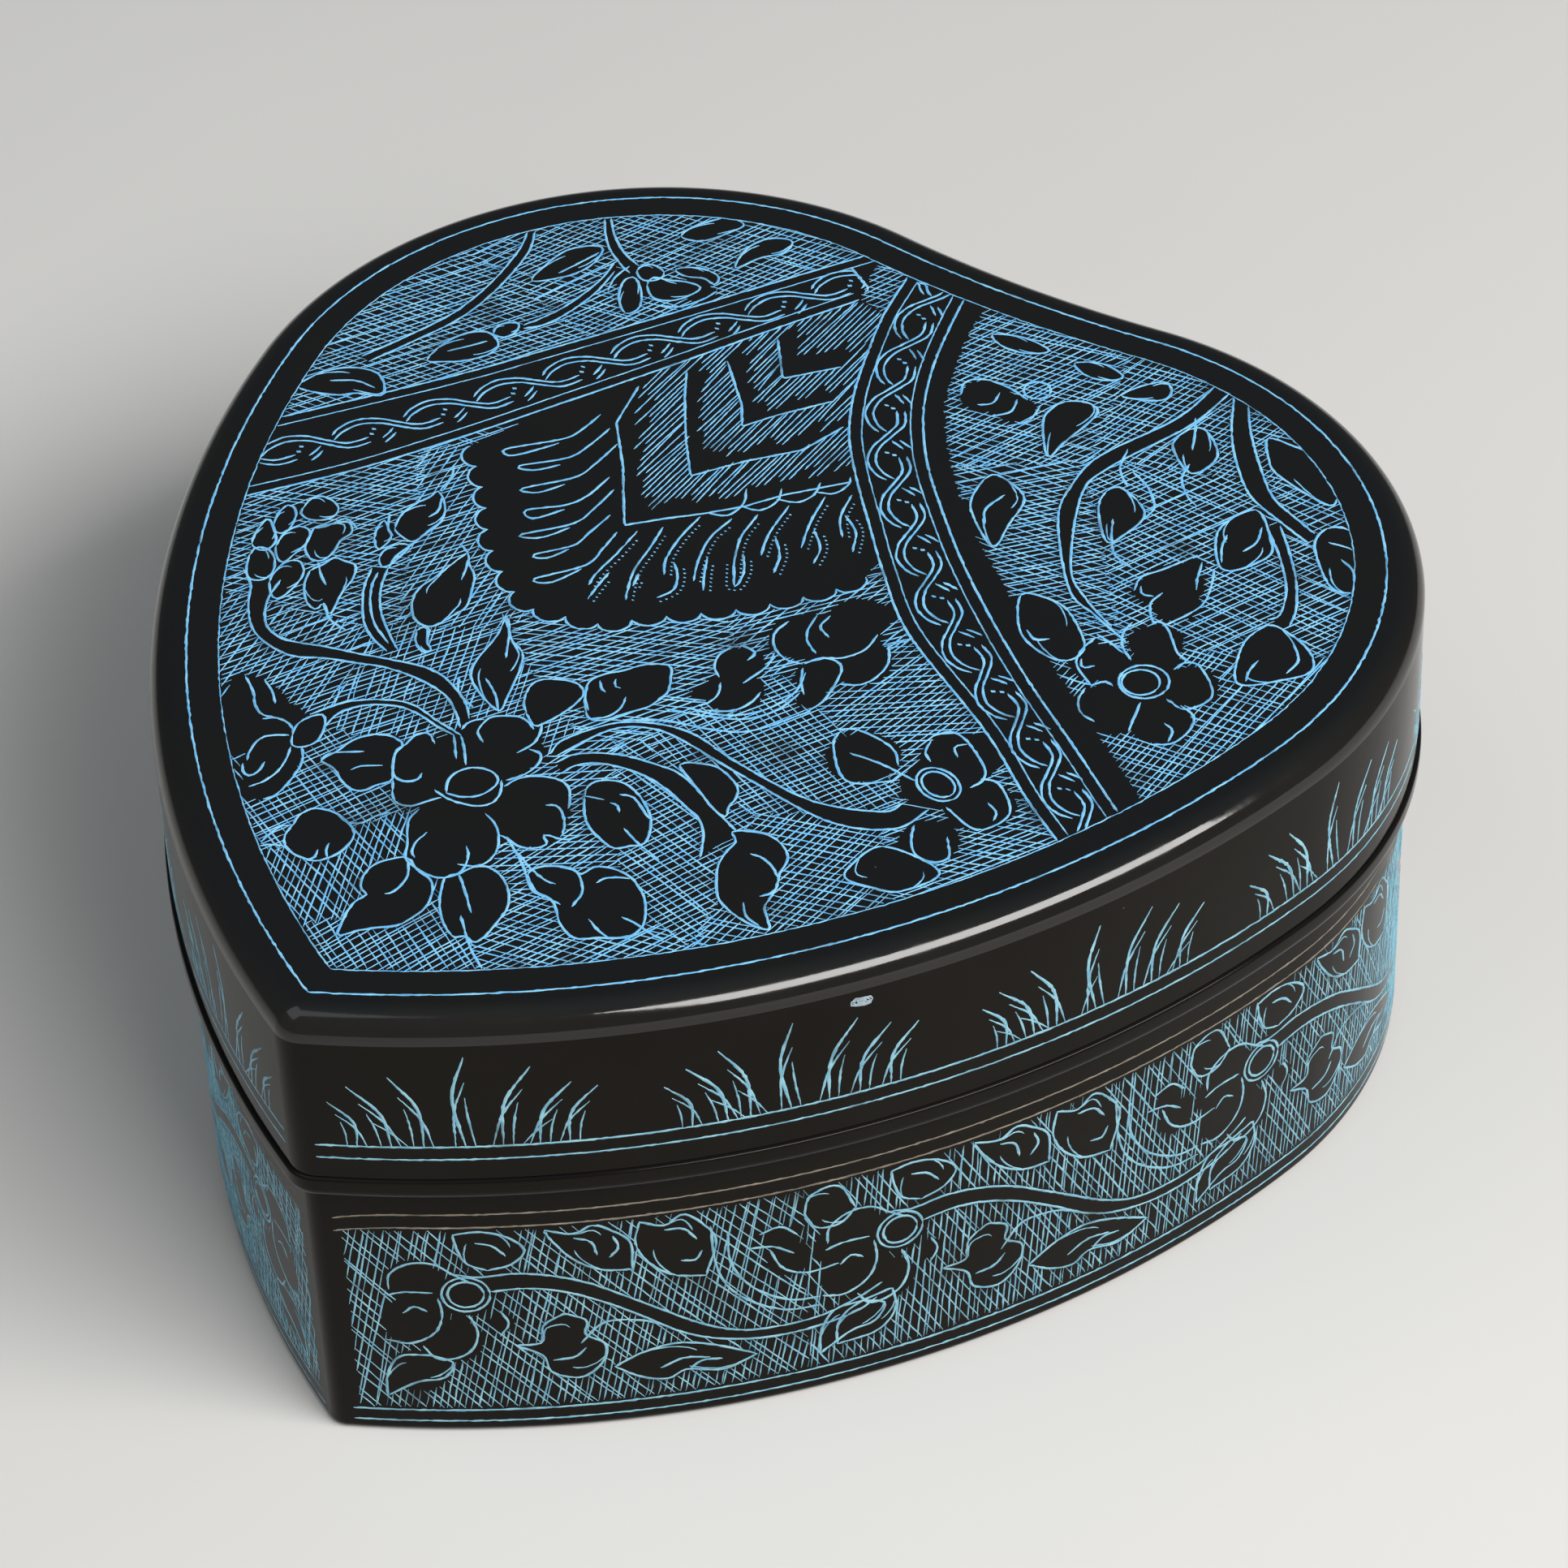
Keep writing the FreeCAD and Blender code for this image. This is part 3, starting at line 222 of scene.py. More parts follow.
def inside(points, ring):
    """Which points lie within a closed ring."""
    found = np.zeros(len(points), bool)
    low = ring.min(0)
    high = ring.max(0)
    near = np.flatnonzero(((points >= low) & (points <= high)).all(1))
    if not len(near):
        return found
    x, y = points[near].T
    x1, y1 = ring.T
    x2, y2 = np.roll(ring, -1, 0).T
    span = np.where(y2 == y1, TINY, y2 - y1)
    spans = (y1 <= y[:, None]) != (y2 <= y[:, None])
    left = x[:, None] < (x2 - x1) * (y[:, None] - y1) / span + x1
    found[near] = (spans & left).sum(1) % 2 == 1
    return found


def stretches(on):
    """Start and end of each unbroken run of marked points."""
    return np.flatnonzero(np.diff(np.r_[False, on, False].astype(int))).reshape(-1, 2)


# Meshes


def new_piece(name, verts, faces, body, slot, material, smooth_angle=None):
    mesh = bpy.data.meshes.new(name)
    mesh.from_pydata((np.asarray(verts) * MM).tolist(), [], faces)
    mesh.validate()
    piece = bpy.data.objects.new(name, mesh)
    bpy.context.scene.collection.objects.link(piece)
    mesh.materials.append(material)
    if smooth_angle is not None:
        mesh.polygons.foreach_set("use_smooth", [True] * len(mesh.polygons))
        mesh.set_sharp_from_angle(angle=math.radians(smooth_angle))
    mesh.update()
    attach(piece, body)
    return piece


def loft(rings, closed):
    """Quads between nested outlines at their heights, with caps unless the profile closes."""
    loops = [np.c_[heart.loop(), np.full(len(heart.loop()), height)] for heart, height in rings]
    count = len(loops[0])
    verts = np.vstack(loops)
    faces = []
    pairs = list(zip(range(len(rings)), range(1, len(rings))))
    if closed:
        pairs.append((len(rings) - 1, 0))
    for low, high in pairs:
        for step in range(count):
            after = (step + 1) % count
            faces.append((low * count + step, low * count + after,
                          high * count + after, high * count + step))
    if not closed:
        last = (len(rings) - 1) * count
        faces.append(list(range(count))[::-1])
        faces.append([last + step for step in range(count)])
    return verts, faces


def rounding(radius, start, end):
    """Inset and height along a quarter round."""
    turn = np.linspace(start, end, ROUND_STEPS + 1)
    return [(radius * (1 - math.cos(a)), radius * math.sin(a)) for a in turn]


def lid_rings():
    lip_z = case_high.z
    rings = [
        (Heart(LID_INSET, INNER_NOSE), lining_high.z),
        (Heart(LID_INSET, INNER_NOSE), lip_z),
    ]
    for inset, height in rounding(LID_LIP, -math.pi / 2, 0):
        rings.append((Heart(inset), lip_z + LID_LIP + height))
    for inset, height in rounding(SHOULDER, 0, math.pi / 2):
        rings.append((Heart(inset), BEAD_TOP - SHOULDER + height))
    edge = LID_EDGE - SHOULDER
    for inset, height in rounding(edge, 0, math.pi / 2):
        rings.append((Heart(SHOULDER + inset), LID_TOP - edge + height))
    rings.append((Heart(LID_EDGE + TOP_MARGIN), LID_TOP))
    return rings


def case_rings():
    rings = []
    for inset, height in rounding(FOOT_EDGE, -math.pi / 2, 0):
        rings.append((Heart(CASE_INSET + inset), case_low.z + FOOT_EDGE + height))
    rings += [
        (Heart(CASE_INSET), case_high.z),
        (Heart(WALL_INSET, INNER_NOSE), case_high.z),
        (Heart(WALL_INSET, INNER_NOSE), panel_low.z),
        (Heart(SKIRT_INSET, INNER_NOSE), panel_low.z),
        (Heart(SKIRT_INSET, INNER_NOSE), case_low.z),
    ]
    return rings


# Incised lines: how a stroke's width, edge and ends vary

STROKE_STEP = 0.42
STROKE_TAIL = 0.35
STROKE_RAGGED = 0.16
STROKE_SHAKE = 0.01
RAGGED_MOST = 0.6
END_SHARE = 0.35
HATCH_GAP = 0.56
HATCH_WIDTH = 0.2
HATCH_PRESS = (0.7, 1.2)
HATCH_RUN = 0.22
HATCH_STRAY = 0.16
HATCH_TILT = 0.012
HATCH_LEAST = 0.7
HATCH_SPILL = (-0.1, 0.12)
HATCH_BEND = 0.05
HATCH_STEP = 0.8
HATCH_TAIL = 0.6


class Ink:
    """Strokes of one colour on one surface, each a thin closed ridge with ragged edges."""

    def __init__(self, place):
        self.place = place
        self.verts = []
        self.faces = []
        self.count = 0

    def stroke(self, line, width, ragged=STROKE_RAGGED, step=STROKE_STEP, tail=STROKE_TAIL,
               shake=STROKE_SHAKE):
        line = evenly(line, step)
        count = len(line)
        left = to_left(headings(line))
        line = line + left * dice.normal(0, shake, count)[:, None]
        rise = np.arange(count) * step
        ends = np.minimum(np.minimum(rise, rise[::-1]) / tail, 1)
        uneven = dice.normal(0, ragged, count).clip(-RAGGED_MOST, RAGGED_MOST)
        half = width / 2 * (END_SHARE + (1 - END_SHARE) * ends) * (1 + uneven)
        sides = [
            self.place(line + left * half[:, None], -INK_SINK),
            self.place(line, INK_RISE),
            self.place(line - left * half[:, None], -INK_SINK),
        ]
        across = len(sides)
        self.verts += np.stack(sides, 1).reshape(-1, 3).tolist()
        base = self.count + across * np.arange(count - 1)
        for a, b in ((0, 1), (1, 2), (2, 0)):
            self.faces += np.c_[base + a, base + b, base + b + across, base + a + across].tolist()
        last = self.count + across * (count - 1)
        self.faces.append([self.count, self.count + 2, self.count + 1])
        self.faces.append([last, last + 1, last + 2])
        self.count += across * count

    def dot(self, x, y, size):
        self.stroke([(x - size, y), (x, y), (x + size, y)], 2 * size, step=size, tail=size)

    def hatch(self, keep, low, high, angle, gap):
        """Hand-drawn parallel strokes wherever the ground is open."""
        way = np.array([math.cos(math.radians(angle)), math.sin(math.radians(angle))])
        over = np.array([-way[1], way[0]])
        middle = (np.asarray(low) + high) / 2
        reach = np.hypot(*(np.asarray(high) - low)) / 2
        run = np.arange(-reach, reach, HATCH_RUN)
        offsets = np.arange(-reach, reach, gap)
        offsets = offsets + dice.normal(0, gap * HATCH_STRAY, len(offsets))
        tilt = dice.normal(0, HATCH_TILT, len(offsets))
        points = (middle + run[None, :, None] * way
                  + (offsets[:, None] + run[None] * tilt[:, None])[..., None] * over)
        open_ground = keep(points.reshape(-1, 2)).reshape(len(offsets), len(run))
        for line, on in zip(points, open_ground):
            for start, end in stretches(on):
                first, last = line[start], line[end - 1]
                if np.hypot(*(last - first)) < HATCH_LEAST:
                    continue
                first = first - way * dice.uniform(*HATCH_SPILL)
                last = last + way * dice.uniform(*HATCH_SPILL)
                bend = over * dice.normal(0, HATCH_BEND)
                self.stroke([first, (first + last) / 2 + bend, last],
                            HATCH_WIDTH * dice.uniform(*HATCH_PRESS), step=HATCH_STEP, tail=HATCH_TAIL)

    def piece(self, name, body, slot, material):
        new_piece(name, self.verts, self.faces, body, slot, material)


def on_top(points, lift):
    return np.c_[points, np.full(len(points), LID_TOP + lift)]


def on_wall(heart):
    def place(points, lift):
        spot, normal = heart.at(points[:, 0])
        return np.c_[spot + normal * lift, points[:, 1]]
    return place


# Finishes

SPECK_CORE = 0.6
MIX_SHARE, MIX_FIRST, MIX_SECOND = 0, 6, 7
MIX_RESULT = 2
# Painted reflection tints: a warm black for the walls and a cool black for the top, chosen by which way the
# surface faces
PAINTED_WALL_REFLECTION = (0.0048, 0.0034, 0.002)
PAINTED_TOP_REFLECTION = (0.005, 0.006, 0.007)
CLOUD_BLACK = (0.008, 0.0066, 0.005)
DUST = (0.3, 0.28, 0.25)
FELT_BLUES = ((0.03, 0.075, 0.18), (0.075, 0.15, 0.31))
WOOD_BROWNS = ((0.022, 0.014, 0.01), (0.075, 0.048, 0.032))
GRAIN_STRETCH = (1, 0.07, 1)
ACRYLIC_TINTS = ((0.68, 0.74, 0.76), (0.8, 0.85, 0.87))
NYLON_GREYS = ((0.028, 0.028, 0.03), (0.06, 0.06, 0.062))
METAL_ROUGH_LOW = 0.75
METAL_ROUGH_HIGH = 1.3
WALL_GLOSS = 0.1
TOP_GLOSS = 0.5


class Finish:
    """A procedural material, its nodes joined by name."""

    def __init__(self, name, **constants):
        self.material = bpy.data.materials.new(name)
        self.material.use_nodes = True
        self.tree = self.material.node_tree
        self.shader = self.tree.nodes["Principled BSDF"]
        for socket, value in constants.items():
            self.shader.inputs[socket.replace("_", " ")].default_value = value

    def put(self, value, socket):
        if isinstance(value, bpy.types.NodeSocket):
            self.tree.links.new(value, socket)
        else:
            socket.default_value = value

    def node(self, kind, inputs=None, **settings):
        made = self.tree.nodes.new(kind)
        for key, value in settings.items():
            setattr(made, key, value)
        for socket, value in (inputs or {}).items():
            self.put(value, made.inputs[socket])
        return made

    def noise(self, scale, detail=4.0, stretch=(1, 1, 1)):
        place = self.node("ShaderNodeTexCoord").outputs["Object"]
        place = self.node("ShaderNodeMapping", {"Vector": place, "Scale": stretch}).outputs["Vector"]
        inputs = {"Vector": place, "Scale": scale, "Detail": detail}
        return self.node("ShaderNodeTexNoise", inputs).outputs[0]

    def specks(self, scale, size):
        place = self.node("ShaderNodeTexCoord").outputs["Object"]
        cells = self.node("ShaderNodeTexVoronoi", {"Vector": place, "Scale": scale}).outputs["Distance"]
        return self.spread(cells, low=size, high=size * SPECK_CORE)

    def spread(self, value, low, high, start=0, end=1):
        inputs = {"Value": value, "From Min": low, "From Max": high, "To Min": start, "To Max": end}
        return self.node("ShaderNodeMapRange", inputs).outputs["Result"]

    def times(self, first, second):
        return self.node("ShaderNodeMath", {0: first, 1: second}, operation="MULTIPLY").outputs[0]

    def blend(self, share, first, second):
        made = self.node("ShaderNodeMix", data_type="RGBA")
        self.put(share, made.inputs[MIX_SHARE])
        for index, value in ((MIX_FIRST, first), (MIX_SECOND, second)):
            self.put((*value, 1) if isinstance(value, tuple) else value, made.inputs[index])
        return made.outputs[MIX_RESULT]

    def colour(self, value):
        self.put(value, self.shader.inputs["Base Color"])

    def roughness(self, value):
        self.put(value, self.shader.inputs["Roughness"])

    def bump(self, height, strength, depth):
        inputs = {"Height": height, "Strength": strength, "Distance": depth}
        self.put(self.node("ShaderNodeBump", inputs).outputs["Normal"], self.shader.inputs["Normal"])


def lacquer(name, gloss):
    """Gloss black with a painted reflection tint, cooler on top and warmer on the walls by which way the
    surface faces, with a little dust.
    """
    made = Finish(name, Specular_IOR_Level=gloss)
    # Painted reflection: the base black turns warm on the walls and cool on the top by the surface's facing
    normal = made.node("ShaderNodeNewGeometry").outputs["Normal"]
    painted_reflection_facing = made.node("ShaderNodeSeparateXYZ", {"Vector": normal}).outputs["Z"]
    ground = made.blend(made.spread(painted_reflection_facing, low=0.6, high=0.97), PAINTED_WALL_REFLECTION, PAINTED_TOP_REFLECTION)
    clouds = made.spread(made.noise(scale=90), low=0.35, high=0.75, end=0.5)
    cloudy = made.blend(clouds, ground, CLOUD_BLACK)
    settled = made.spread(made.noise(scale=60), low=0.5, high=0.6, end=0.55)
    made.colour(made.blend(made.times(made.specks(scale=190, size=0.02), settled), cloudy, DUST))
    made.roughness(made.spread(made.noise(scale=240), low=0.3, high=0.75, start=0.06, end=0.16))
    made.bump(made.noise(scale=260, detail=3), strength=0.2, depth=0.00012)
    return made.material


def pigment(name, deep, pale, worn):
    """Dry colour rubbed into the cut lines, worn thin in places."""
    made = Finish(name, Specular_IOR_Level=0.25)
    mixed = made.blend(made.spread(made.noise(scale=700), low=0.35, high=0.65), deep, pale)
    thin = made.spread(made.noise(scale=260), low=0.56, high=0.74, end=0.75)
    made.colour(made.blend(thin, mixed, worn))
    made.roughness(made.spread(made.noise(scale=900), low=0.3, high=0.7, start=0.45, end=0.75))
    made.bump(made.noise(scale=3000), strength=0.3, depth=0.00003)
    return made.material


def felt():
    made = Finish("felt", Sheen_Weight=0.35, Sheen_Roughness=0.5, Specular_IOR_Level=0.15)
    made.colour(made.blend(made.noise(scale=1400, detail=6), *FELT_BLUES))
    made.roughness(made.spread(made.noise(scale=900), low=0.3, high=0.7, start=0.85))
    made.bump(made.noise(scale=2600, detail=8), strength=0.7, depth=0.0003)
    return made.material


def dark_wood():
    made = Finish("dark_wood", Specular_IOR_Level=0.35)
    grain = made.noise(scale=140, detail=8, stretch=GRAIN_STRETCH)
    made.colour(made.blend(made.spread(grain, low=0.35, high=0.68), *WOOD_BROWNS))
    made.roughness(made.spread(grain, low=0.3, high=0.7, start=0.38, end=0.6))
    made.bump(grain, strength=0.25, depth=0.0001)
    return made.material


def clear_acrylic():
    made = Finish("clear_acrylic", Alpha=0.1, IOR=1.49)
    made.colour(made.blend(made.noise(scale=60), *ACRYLIC_TINTS))
    made.roughness(made.spread(made.noise(scale=180), low=0.4, high=0.75, start=0.015, end=0.08))
    made.bump(made.noise(scale=90, detail=2), strength=0.04, depth=0.00005)
    return made.material


def metal(name, deep, pale, rough, stretch, depth):
    made = Finish(name, Metallic=1.0)
    drawn = made.noise(scale=900, detail=5, stretch=stretch)
    stained = made.blend(made.spread(made.noise(scale=130), low=0.4, high=0.7), pale, deep)
    made.colour(made.blend(made.spread(drawn, low=0.45, high=0.75, end=0.5), stained, deep))
    made.roughness(made.spread(drawn, low=0.3, high=0.7, start=rough * METAL_ROUGH_LOW,
                               end=rough * METAL_ROUGH_HIGH))
    made.bump(drawn, strength=0.25, depth=depth)
    return made.material


def nylon():
    made = Finish("dark_nylon", Specular_IOR_Level=0.4)
    made.colour(made.blend(made.noise(scale=500), *NYLON_GREYS))
    made.roughness(made.spread(made.noise(scale=800), low=0.3, high=0.7, start=0.42, end=0.6))
    made.bump(made.noise(scale=2200), strength=0.3, depth=0.00004)
    return made.material


FINISHES = {
    "black_lacquer": lacquer("black_lacquer", WALL_GLOSS),
    "dark_wood": dark_wood(),
    "felt": felt(),
    "clear_acrylic": clear_acrylic(),
    "cast_plate": metal("cast_plate", deep=(0.36, 0.36, 0.35), pale=(0.56, 0.56, 0.55),
                        rough=0.46, stretch=(1, 1, 1), depth=0.00008),
    "brass": metal("brass", deep=(0.6, 0.4, 0.14), pale=(0.82, 0.61, 0.28),
                   rough=0.28, stretch=(1, 1, 0.2), depth=0.00002),
    "steel": metal("steel", deep=(0.46, 0.46, 0.47), pale=(0.66, 0.66, 0.67),
                   rough=0.3, stretch=(0.15, 1, 1), depth=0.00002),
    "screw_steel": metal("screw_steel", deep=(0.08, 0.1, 0.16), pale=(0.17, 0.2, 0.28),
                         rough=0.3, stretch=(1, 0.2, 1), depth=0.00002),
    "dark_nylon": nylon(),
}
POLISHED = lacquer("polished_lacquer", TOP_GLOSS)
SKY = pigment("sky_pigment", deep=(0.13, 0.42, 0.74), pale=(0.24, 0.58, 0.86), worn=(0.06, 0.13, 0.2))
TEAL = pigment("teal_pigment", deep=(0.14, 0.33, 0.44), pale=(0.26, 0.5, 0.6), worn=(0.06, 0.09, 0.1))
CHALK = pigment("chalk_ground", deep=(0.16, 0.22, 0.26), pale=(0.34, 0.42, 0.47), worn=(0.05, 0.06, 0.07))
UMBER = pigment("umber_pigment", deep=(0.14, 0.12, 0.09), pale=(0.24, 0.21, 0.17),
                worn=(0.05, 0.045, 0.035))

for subpart in frame["record"]["subparts"]:
    carried = frame["nodes"][subpart["node"]].data.materials
    carried.clear()
    carried.append(FINISHES[subpart["material_slot"]])


# Lid and wall

LACQUER_ANGLE = 40
lid = new_piece("lid_skin", *loft(lid_rings(), False), "lid", "black_lacquer",
                FINISHES["black_lacquer"], LACQUER_ANGLE)
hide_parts("lid_shell")
lid.data.materials.append(POLISHED)
for face in lid.data.polygons:
    face.material_index = int(face.center.z / MM > LID_TOP - LID_EDGE + SHOULDER and face.normal.z > 0)
case = new_piece("case_skin", *loft(case_rings(), True), "case", "black_lacquer",
                 FINISHES["black_lacquer"], LACQUER_ANGLE)
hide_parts("case_wall")


# Felt linings

NAP = 0.05
FELT_LONGEST = 5.0
LID_FELT_INSET = 3.35
FLOOR_FELT_INSET = 5.45
COVER_GAP = 0.3
EAR_LENGTH = 7.0
EAR_WIDTH = 8.6
EAR_Y = 18.0


def long_edges(shape):
    return [edge for edge in shape.edges if edge.calc_length() > FELT_LONGEST * MM]


def felt_sheet(name, loops, low, high, body, node):
    """A cut sheet of felt with a lightly uneven nap."""
    work = bpy.data.meshes.new(name)
    edges = []
    points = []
    for loop in loops:
        start = len(points)
        points += [(x * MM, y * MM, low * MM) for x, y in loop]
        edges += [(start + i, start + (i + 1) % len(loop)) for i in range(len(loop))]
    work.from_pydata(points, edges, [])
    shape = bmesh.new()
    shape.from_mesh(work)
    bmesh.ops.triangle_fill(shape, use_beauty=True, edges=shape.edges[:])
    long = long_edges(shape)
    while long:
        bmesh.ops.subdivide_edges(shape, edges=long, cuts=1)
        bmesh.ops.triangulate(shape, faces=shape.faces[:])
        long = long_edges(shape)
    flat_area = sum(face.calc_area() for face in shape.faces)
    raised = bmesh.ops.extrude_face_region(shape, geom=shape.faces[:])
    for vert in (v for v in raised["geom"] if isinstance(v, bmesh.types.BMVert)):
        vert.co.z = (high - NAP * dice.uniform(0, 1)) * MM
    bmesh.ops.recalc_face_normals(shape, faces=shape.faces[:])
    shape.to_mesh(work)
    shape.free()
    piece = bpy.data.objects.new(name, work)
    bpy.context.scene.collection.objects.link(piece)
    work.materials.append(FINISHES["felt"])
    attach(piece, body)
    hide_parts(node)


floor_low, floor_high = (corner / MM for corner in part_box("floor_lining"))
cover_low, cover_high = (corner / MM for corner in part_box("movement_cover"))
ear_reach = cover_high.x + COVER_GAP
cover_half = cover_high.x - EAR_LENGTH + COVER_GAP
cover_right = [
    (cover_half, cover_low.y - COVER_GAP),
    (cover_half, EAR_Y - EAR_WIDTH / 2),
    (ear_reach, EAR_Y - EAR_WIDTH / 2),
    (ear_reach, EAR_Y + EAR_WIDTH / 2),
    (cover_half, EAR_Y + EAR_WIDTH / 2),
    (cover_half, cover_high.y + COVER_GAP),
]
cover_loop = cover_right + [(-x, y) for x, y in reversed(cover_right)]
felt_sheet("lid_felt", [Heart(LID_FELT_INSET, INNER_NOSE).loop()], lining_low.z, lining_high.z,
           "lid", "lid_lining")
felt_sheet("floor_felt", [Heart(FLOOR_FELT_INSET, INNER_NOSE).loop(), cover_loop], floor_low.z,
           floor_high.z, "case", "floor_lining")


# Ornament of the lid top, in millimetres across and along the heart

LINE_WIDTH = 0.33
FINE_WIDTH = 0.21
# Fewest points of a line that is drawn
LEAST_SPOTS = 4
FIELD_INSET = 6.3
# Inset, width and raggedness of the border line and of the edge of the field
BORDER_LINES = ((3.6, 0.29, 0.2), (FIELD_INSET, 0.17, 0.3))
BORDER_SHAKE = 0.02

# Leaves and petals, each an outline
LEAVES = [
    [(-13, -7.6), (-11, -9.8), (-8.8, -11.2), (-7, -16), (-6.8, -17.8), (-11.3, -15.2), (-12.3, -10)],
    [(-35.3, -10.2), (-35.7, -8.3), (-35.2, -7.1), (-34, -7.1), (-33.3, -8.5), (-33.3, -10.3),
     (-33.4, -11.7), (-34.3, -11.4)],
    [(-37.3, -11), (-38, -9.1), (-38.1, -7.6), (-36.7, -8.6), (-35.7, -9.7), (-35.6, -11), (-36.3, -11.4)],
    [(-37.2, -8), (-37.8, -6.4), (-37.7, -5.2), (-36.7, -5.5), (-35.9, -6.9), (-35.7, -8.2), (-36.2, -8.8)],
    [(-36.4, -4.8), (-36.5, -3.3), (-35.6, -2.7), (-34, -3.1), (-33.4, -4.2), (-33.9, -5.3),
     (-35.1, -5.9), (-36.1, -5.6)],
    [(-33.9, -6.5), (-32.9, -5.3), (-31.9, -4.4), (-30.8, -5.4), (-31, -6.7), (-30.6, -8.2),
     (-30.7, -9.7), (-31.6, -10.1), (-32.9, -9.3), (-33.6, -7.7)],
    [(-36.5, -12.3), (-36.6, -11.3), (-35.7, -10.9), (-34.3, -11.7), (-33.4, -13.3), (-33.6, -14.5),
     (-34.6, -14.9), (-35.6, -14)],
    [(-32.9, -14.3), (-33.3, -12.8), (-33.3, -11.6), (-32.4, -10.8), (-31.1, -11.9), (-30.7, -13.8),
     (-30.8, -15.5), (-31.5, -15.8)],
    [(-30.8, -11.3), (-30, -13.3), (-28.5, -14.9), (-27.3, -15.2), (-27.3, -14.2), (-26, -15.2),
     (-26.1, -14.3), (-26.6, -12.9), (-26.9, -11.5), (-27.1, -10.2), (-27.9, -8.8), (-29.1, -8.8),
     (-30.1, -8.9), (-30.4, -10.3)],
    [(-28, -3), (-28.6, -1.1), (-28.4, 0.6), (-27.9, 2), (-27.8, 3), (-26.7, 2.3), (-25.6, 1),
     (-25.1, -0.6), (-25.3, -2.2), (-25.6, -3.7), (-26.9, -3.6)],
    [(-28.7, -5), (-29.3, -3.8), (-29.4, -2.6), (-28.5, -3.3), (-27.5, -4.2), (-27.4, -5.5), (-27.6, -6.1)],
    [(-26.8, -6.9), (-27, -5.7), (-26.4, -4.5), (-25.5, -4.3), (-25.4, -5.6), (-25.4, -7.1), (-25.9, -7.8)],
    [(-20.7, -2.5), (-21, -4.5), (-21.2, -6.5), (-21.5, -8.5), (-20.9, -10.3), (-19.6, -11.8),
     (-18.3, -12.2), (-17.5, -11.7), (-16.9, -9.6), (-16.7, -8.2), (-17.6, -6.2), (-18.5, -4.6),
     (-19.8, -3.6)],
    [(-18.4, -13), (-18.3, -12.4), (-17.7, -12.3), (-16.8, -13.8), (-15.9, -14.4), (-16.4, -15),
     (-17.7, -14.2)],
    [(29.4, -15.2), (28.4, -18.8), (29, -20), (31, -19.8), (33.4, -19), (34.9, -15.4)],
    [(22.4, 17.2), (24.8, 18), (27, 17.4), (30.2, 14.6), (30.4, 12.4), (28.6, 11.6), (25, 13)],
    [(33.6, 37.2), (32.2, 33.4), (34.4, 29.4), (36, 29.2), (37.6, 32.4), (36.6, 34.4)],
    [(41.6, 23.4), (42.6, 24.8), (46.4, 23.6), (48, 21.4), (46.6, 19.2), (43.6, 16.8), (41.6, 20.8)],
    [(40, 38.2), (42, 38.8), (46.2, 35.8), (46.8, 33.6), (45.6, 31.6), (43.6, 31.9), (40.2, 35.6)],
    [(29.6, 46.2), (32, 46.4), (35, 46.2), (37, 44.6), (38.8, 41), (33, 42.2), (31, 43.8)],
    [(35, 47.6), (37.6, 47.8), (40, 46.4), (40.8, 44.8), (38.6, 44.6), (37.4, 46.2)],
    [(23.2, 43.8), (24.4, 44.4), (27.1, 41.8), (26.4, 38.6), (23.4, 40.6), (22.8, 42.2)],
    [(21.4, 32.8), (22.4, 33.8), (25.8, 31.8), (25.6, 28), (24.8, 27), (22, 30.4)],
    [(11.6, 28.8), (12.4, 29.8), (15.8, 28.4), (16.6, 24.6), (17, 21.4), (13.4, 24), (12, 26)],
    [(12, 41.6), (13.8, 42.4), (15.2, 41.4), (14.8, 36.6), (14.6, 34.2), (11.8, 38), (11.4, 40)],
    [(15.6, 44.8), (17, 45), (19, 46), (19.2, 47.4), (18, 48.4), (16.6, 47)],
    [(1.4, 46.4), (4, 47.4), (7, 47), (5.4, 45.6), (3, 45.4)],
    [(9.8, 46.6), (12, 47.8), (14.4, 47.2), (13.6, 46), (11.6, 45.6)],
    [(-28.2, 32.1), (-30, 33.7), (-31, 35.9), (-30.5, 36.9), (-28.8, 35.5), (-27.6, 33.4)],
    [(-30.9, 37.9), (-30.6, 39.1), (-29.5, 39.3), (-28.4, 38.6), (-28.7, 37.4), (-29.8, 37)],
    [(-28.9, 36.6), (-29, 37.8), (-27.6, 38.2), (-25.9, 38.8), (-24.5, 38.7), (-24.8, 37.1),
     (-25.8, 35.7), (-27.4, 35.3)],
    [(-28, 39.8), (-26.5, 41), (-24.2, 41), (-23.7, 39.7), (-25, 40), (-26.7, 39.4)],
    [(-38.1, 31.7), (-38.4, 34.3), (-38.1, 36.9), (-36.9, 38.5), (-35.5, 39.1), (-34.9, 37.5),
     (-35, 35.6), (-35.9, 33.8)],
    [(-39.4, 17.4), (-39.5, 20.2), (-38.6, 22.5), (-37, 23.5), (-35.3, 22.6), (-35.2, 20.9),
     (-36.5, 19.1), (-38, 18)],
    [(-36.6, 23.6), (-36.8, 25), (-35.6, 26), (-35, 24.9), (-35.5, 23.6)],
    [(-46.8, 8.4), (-46.5, 10.8), (-44.7, 13), (-41.9, 13.6), (-39.8, 11.4), (-41.9, 10.4), (-43.6, 9.1)],
    [(-23.5, 42.7), (-24.2, 45.6), (-23.4, 47.9), (-21.4, 48.8), (-21, 47), (-22.5, 45)],
    [(-30.4, 44.2), (-29.9, 46.5), (-28.4, 48.5), (-26.4, 48.6), (-27.1, 46.5), (-28.4, 44.5)],
]
# Where each curl starts on a leaf's edge, its share of that edge and how far it draws in
CURLS = ((0.12, 0.2, 0.62), (0.56, 0.17, 0.66))
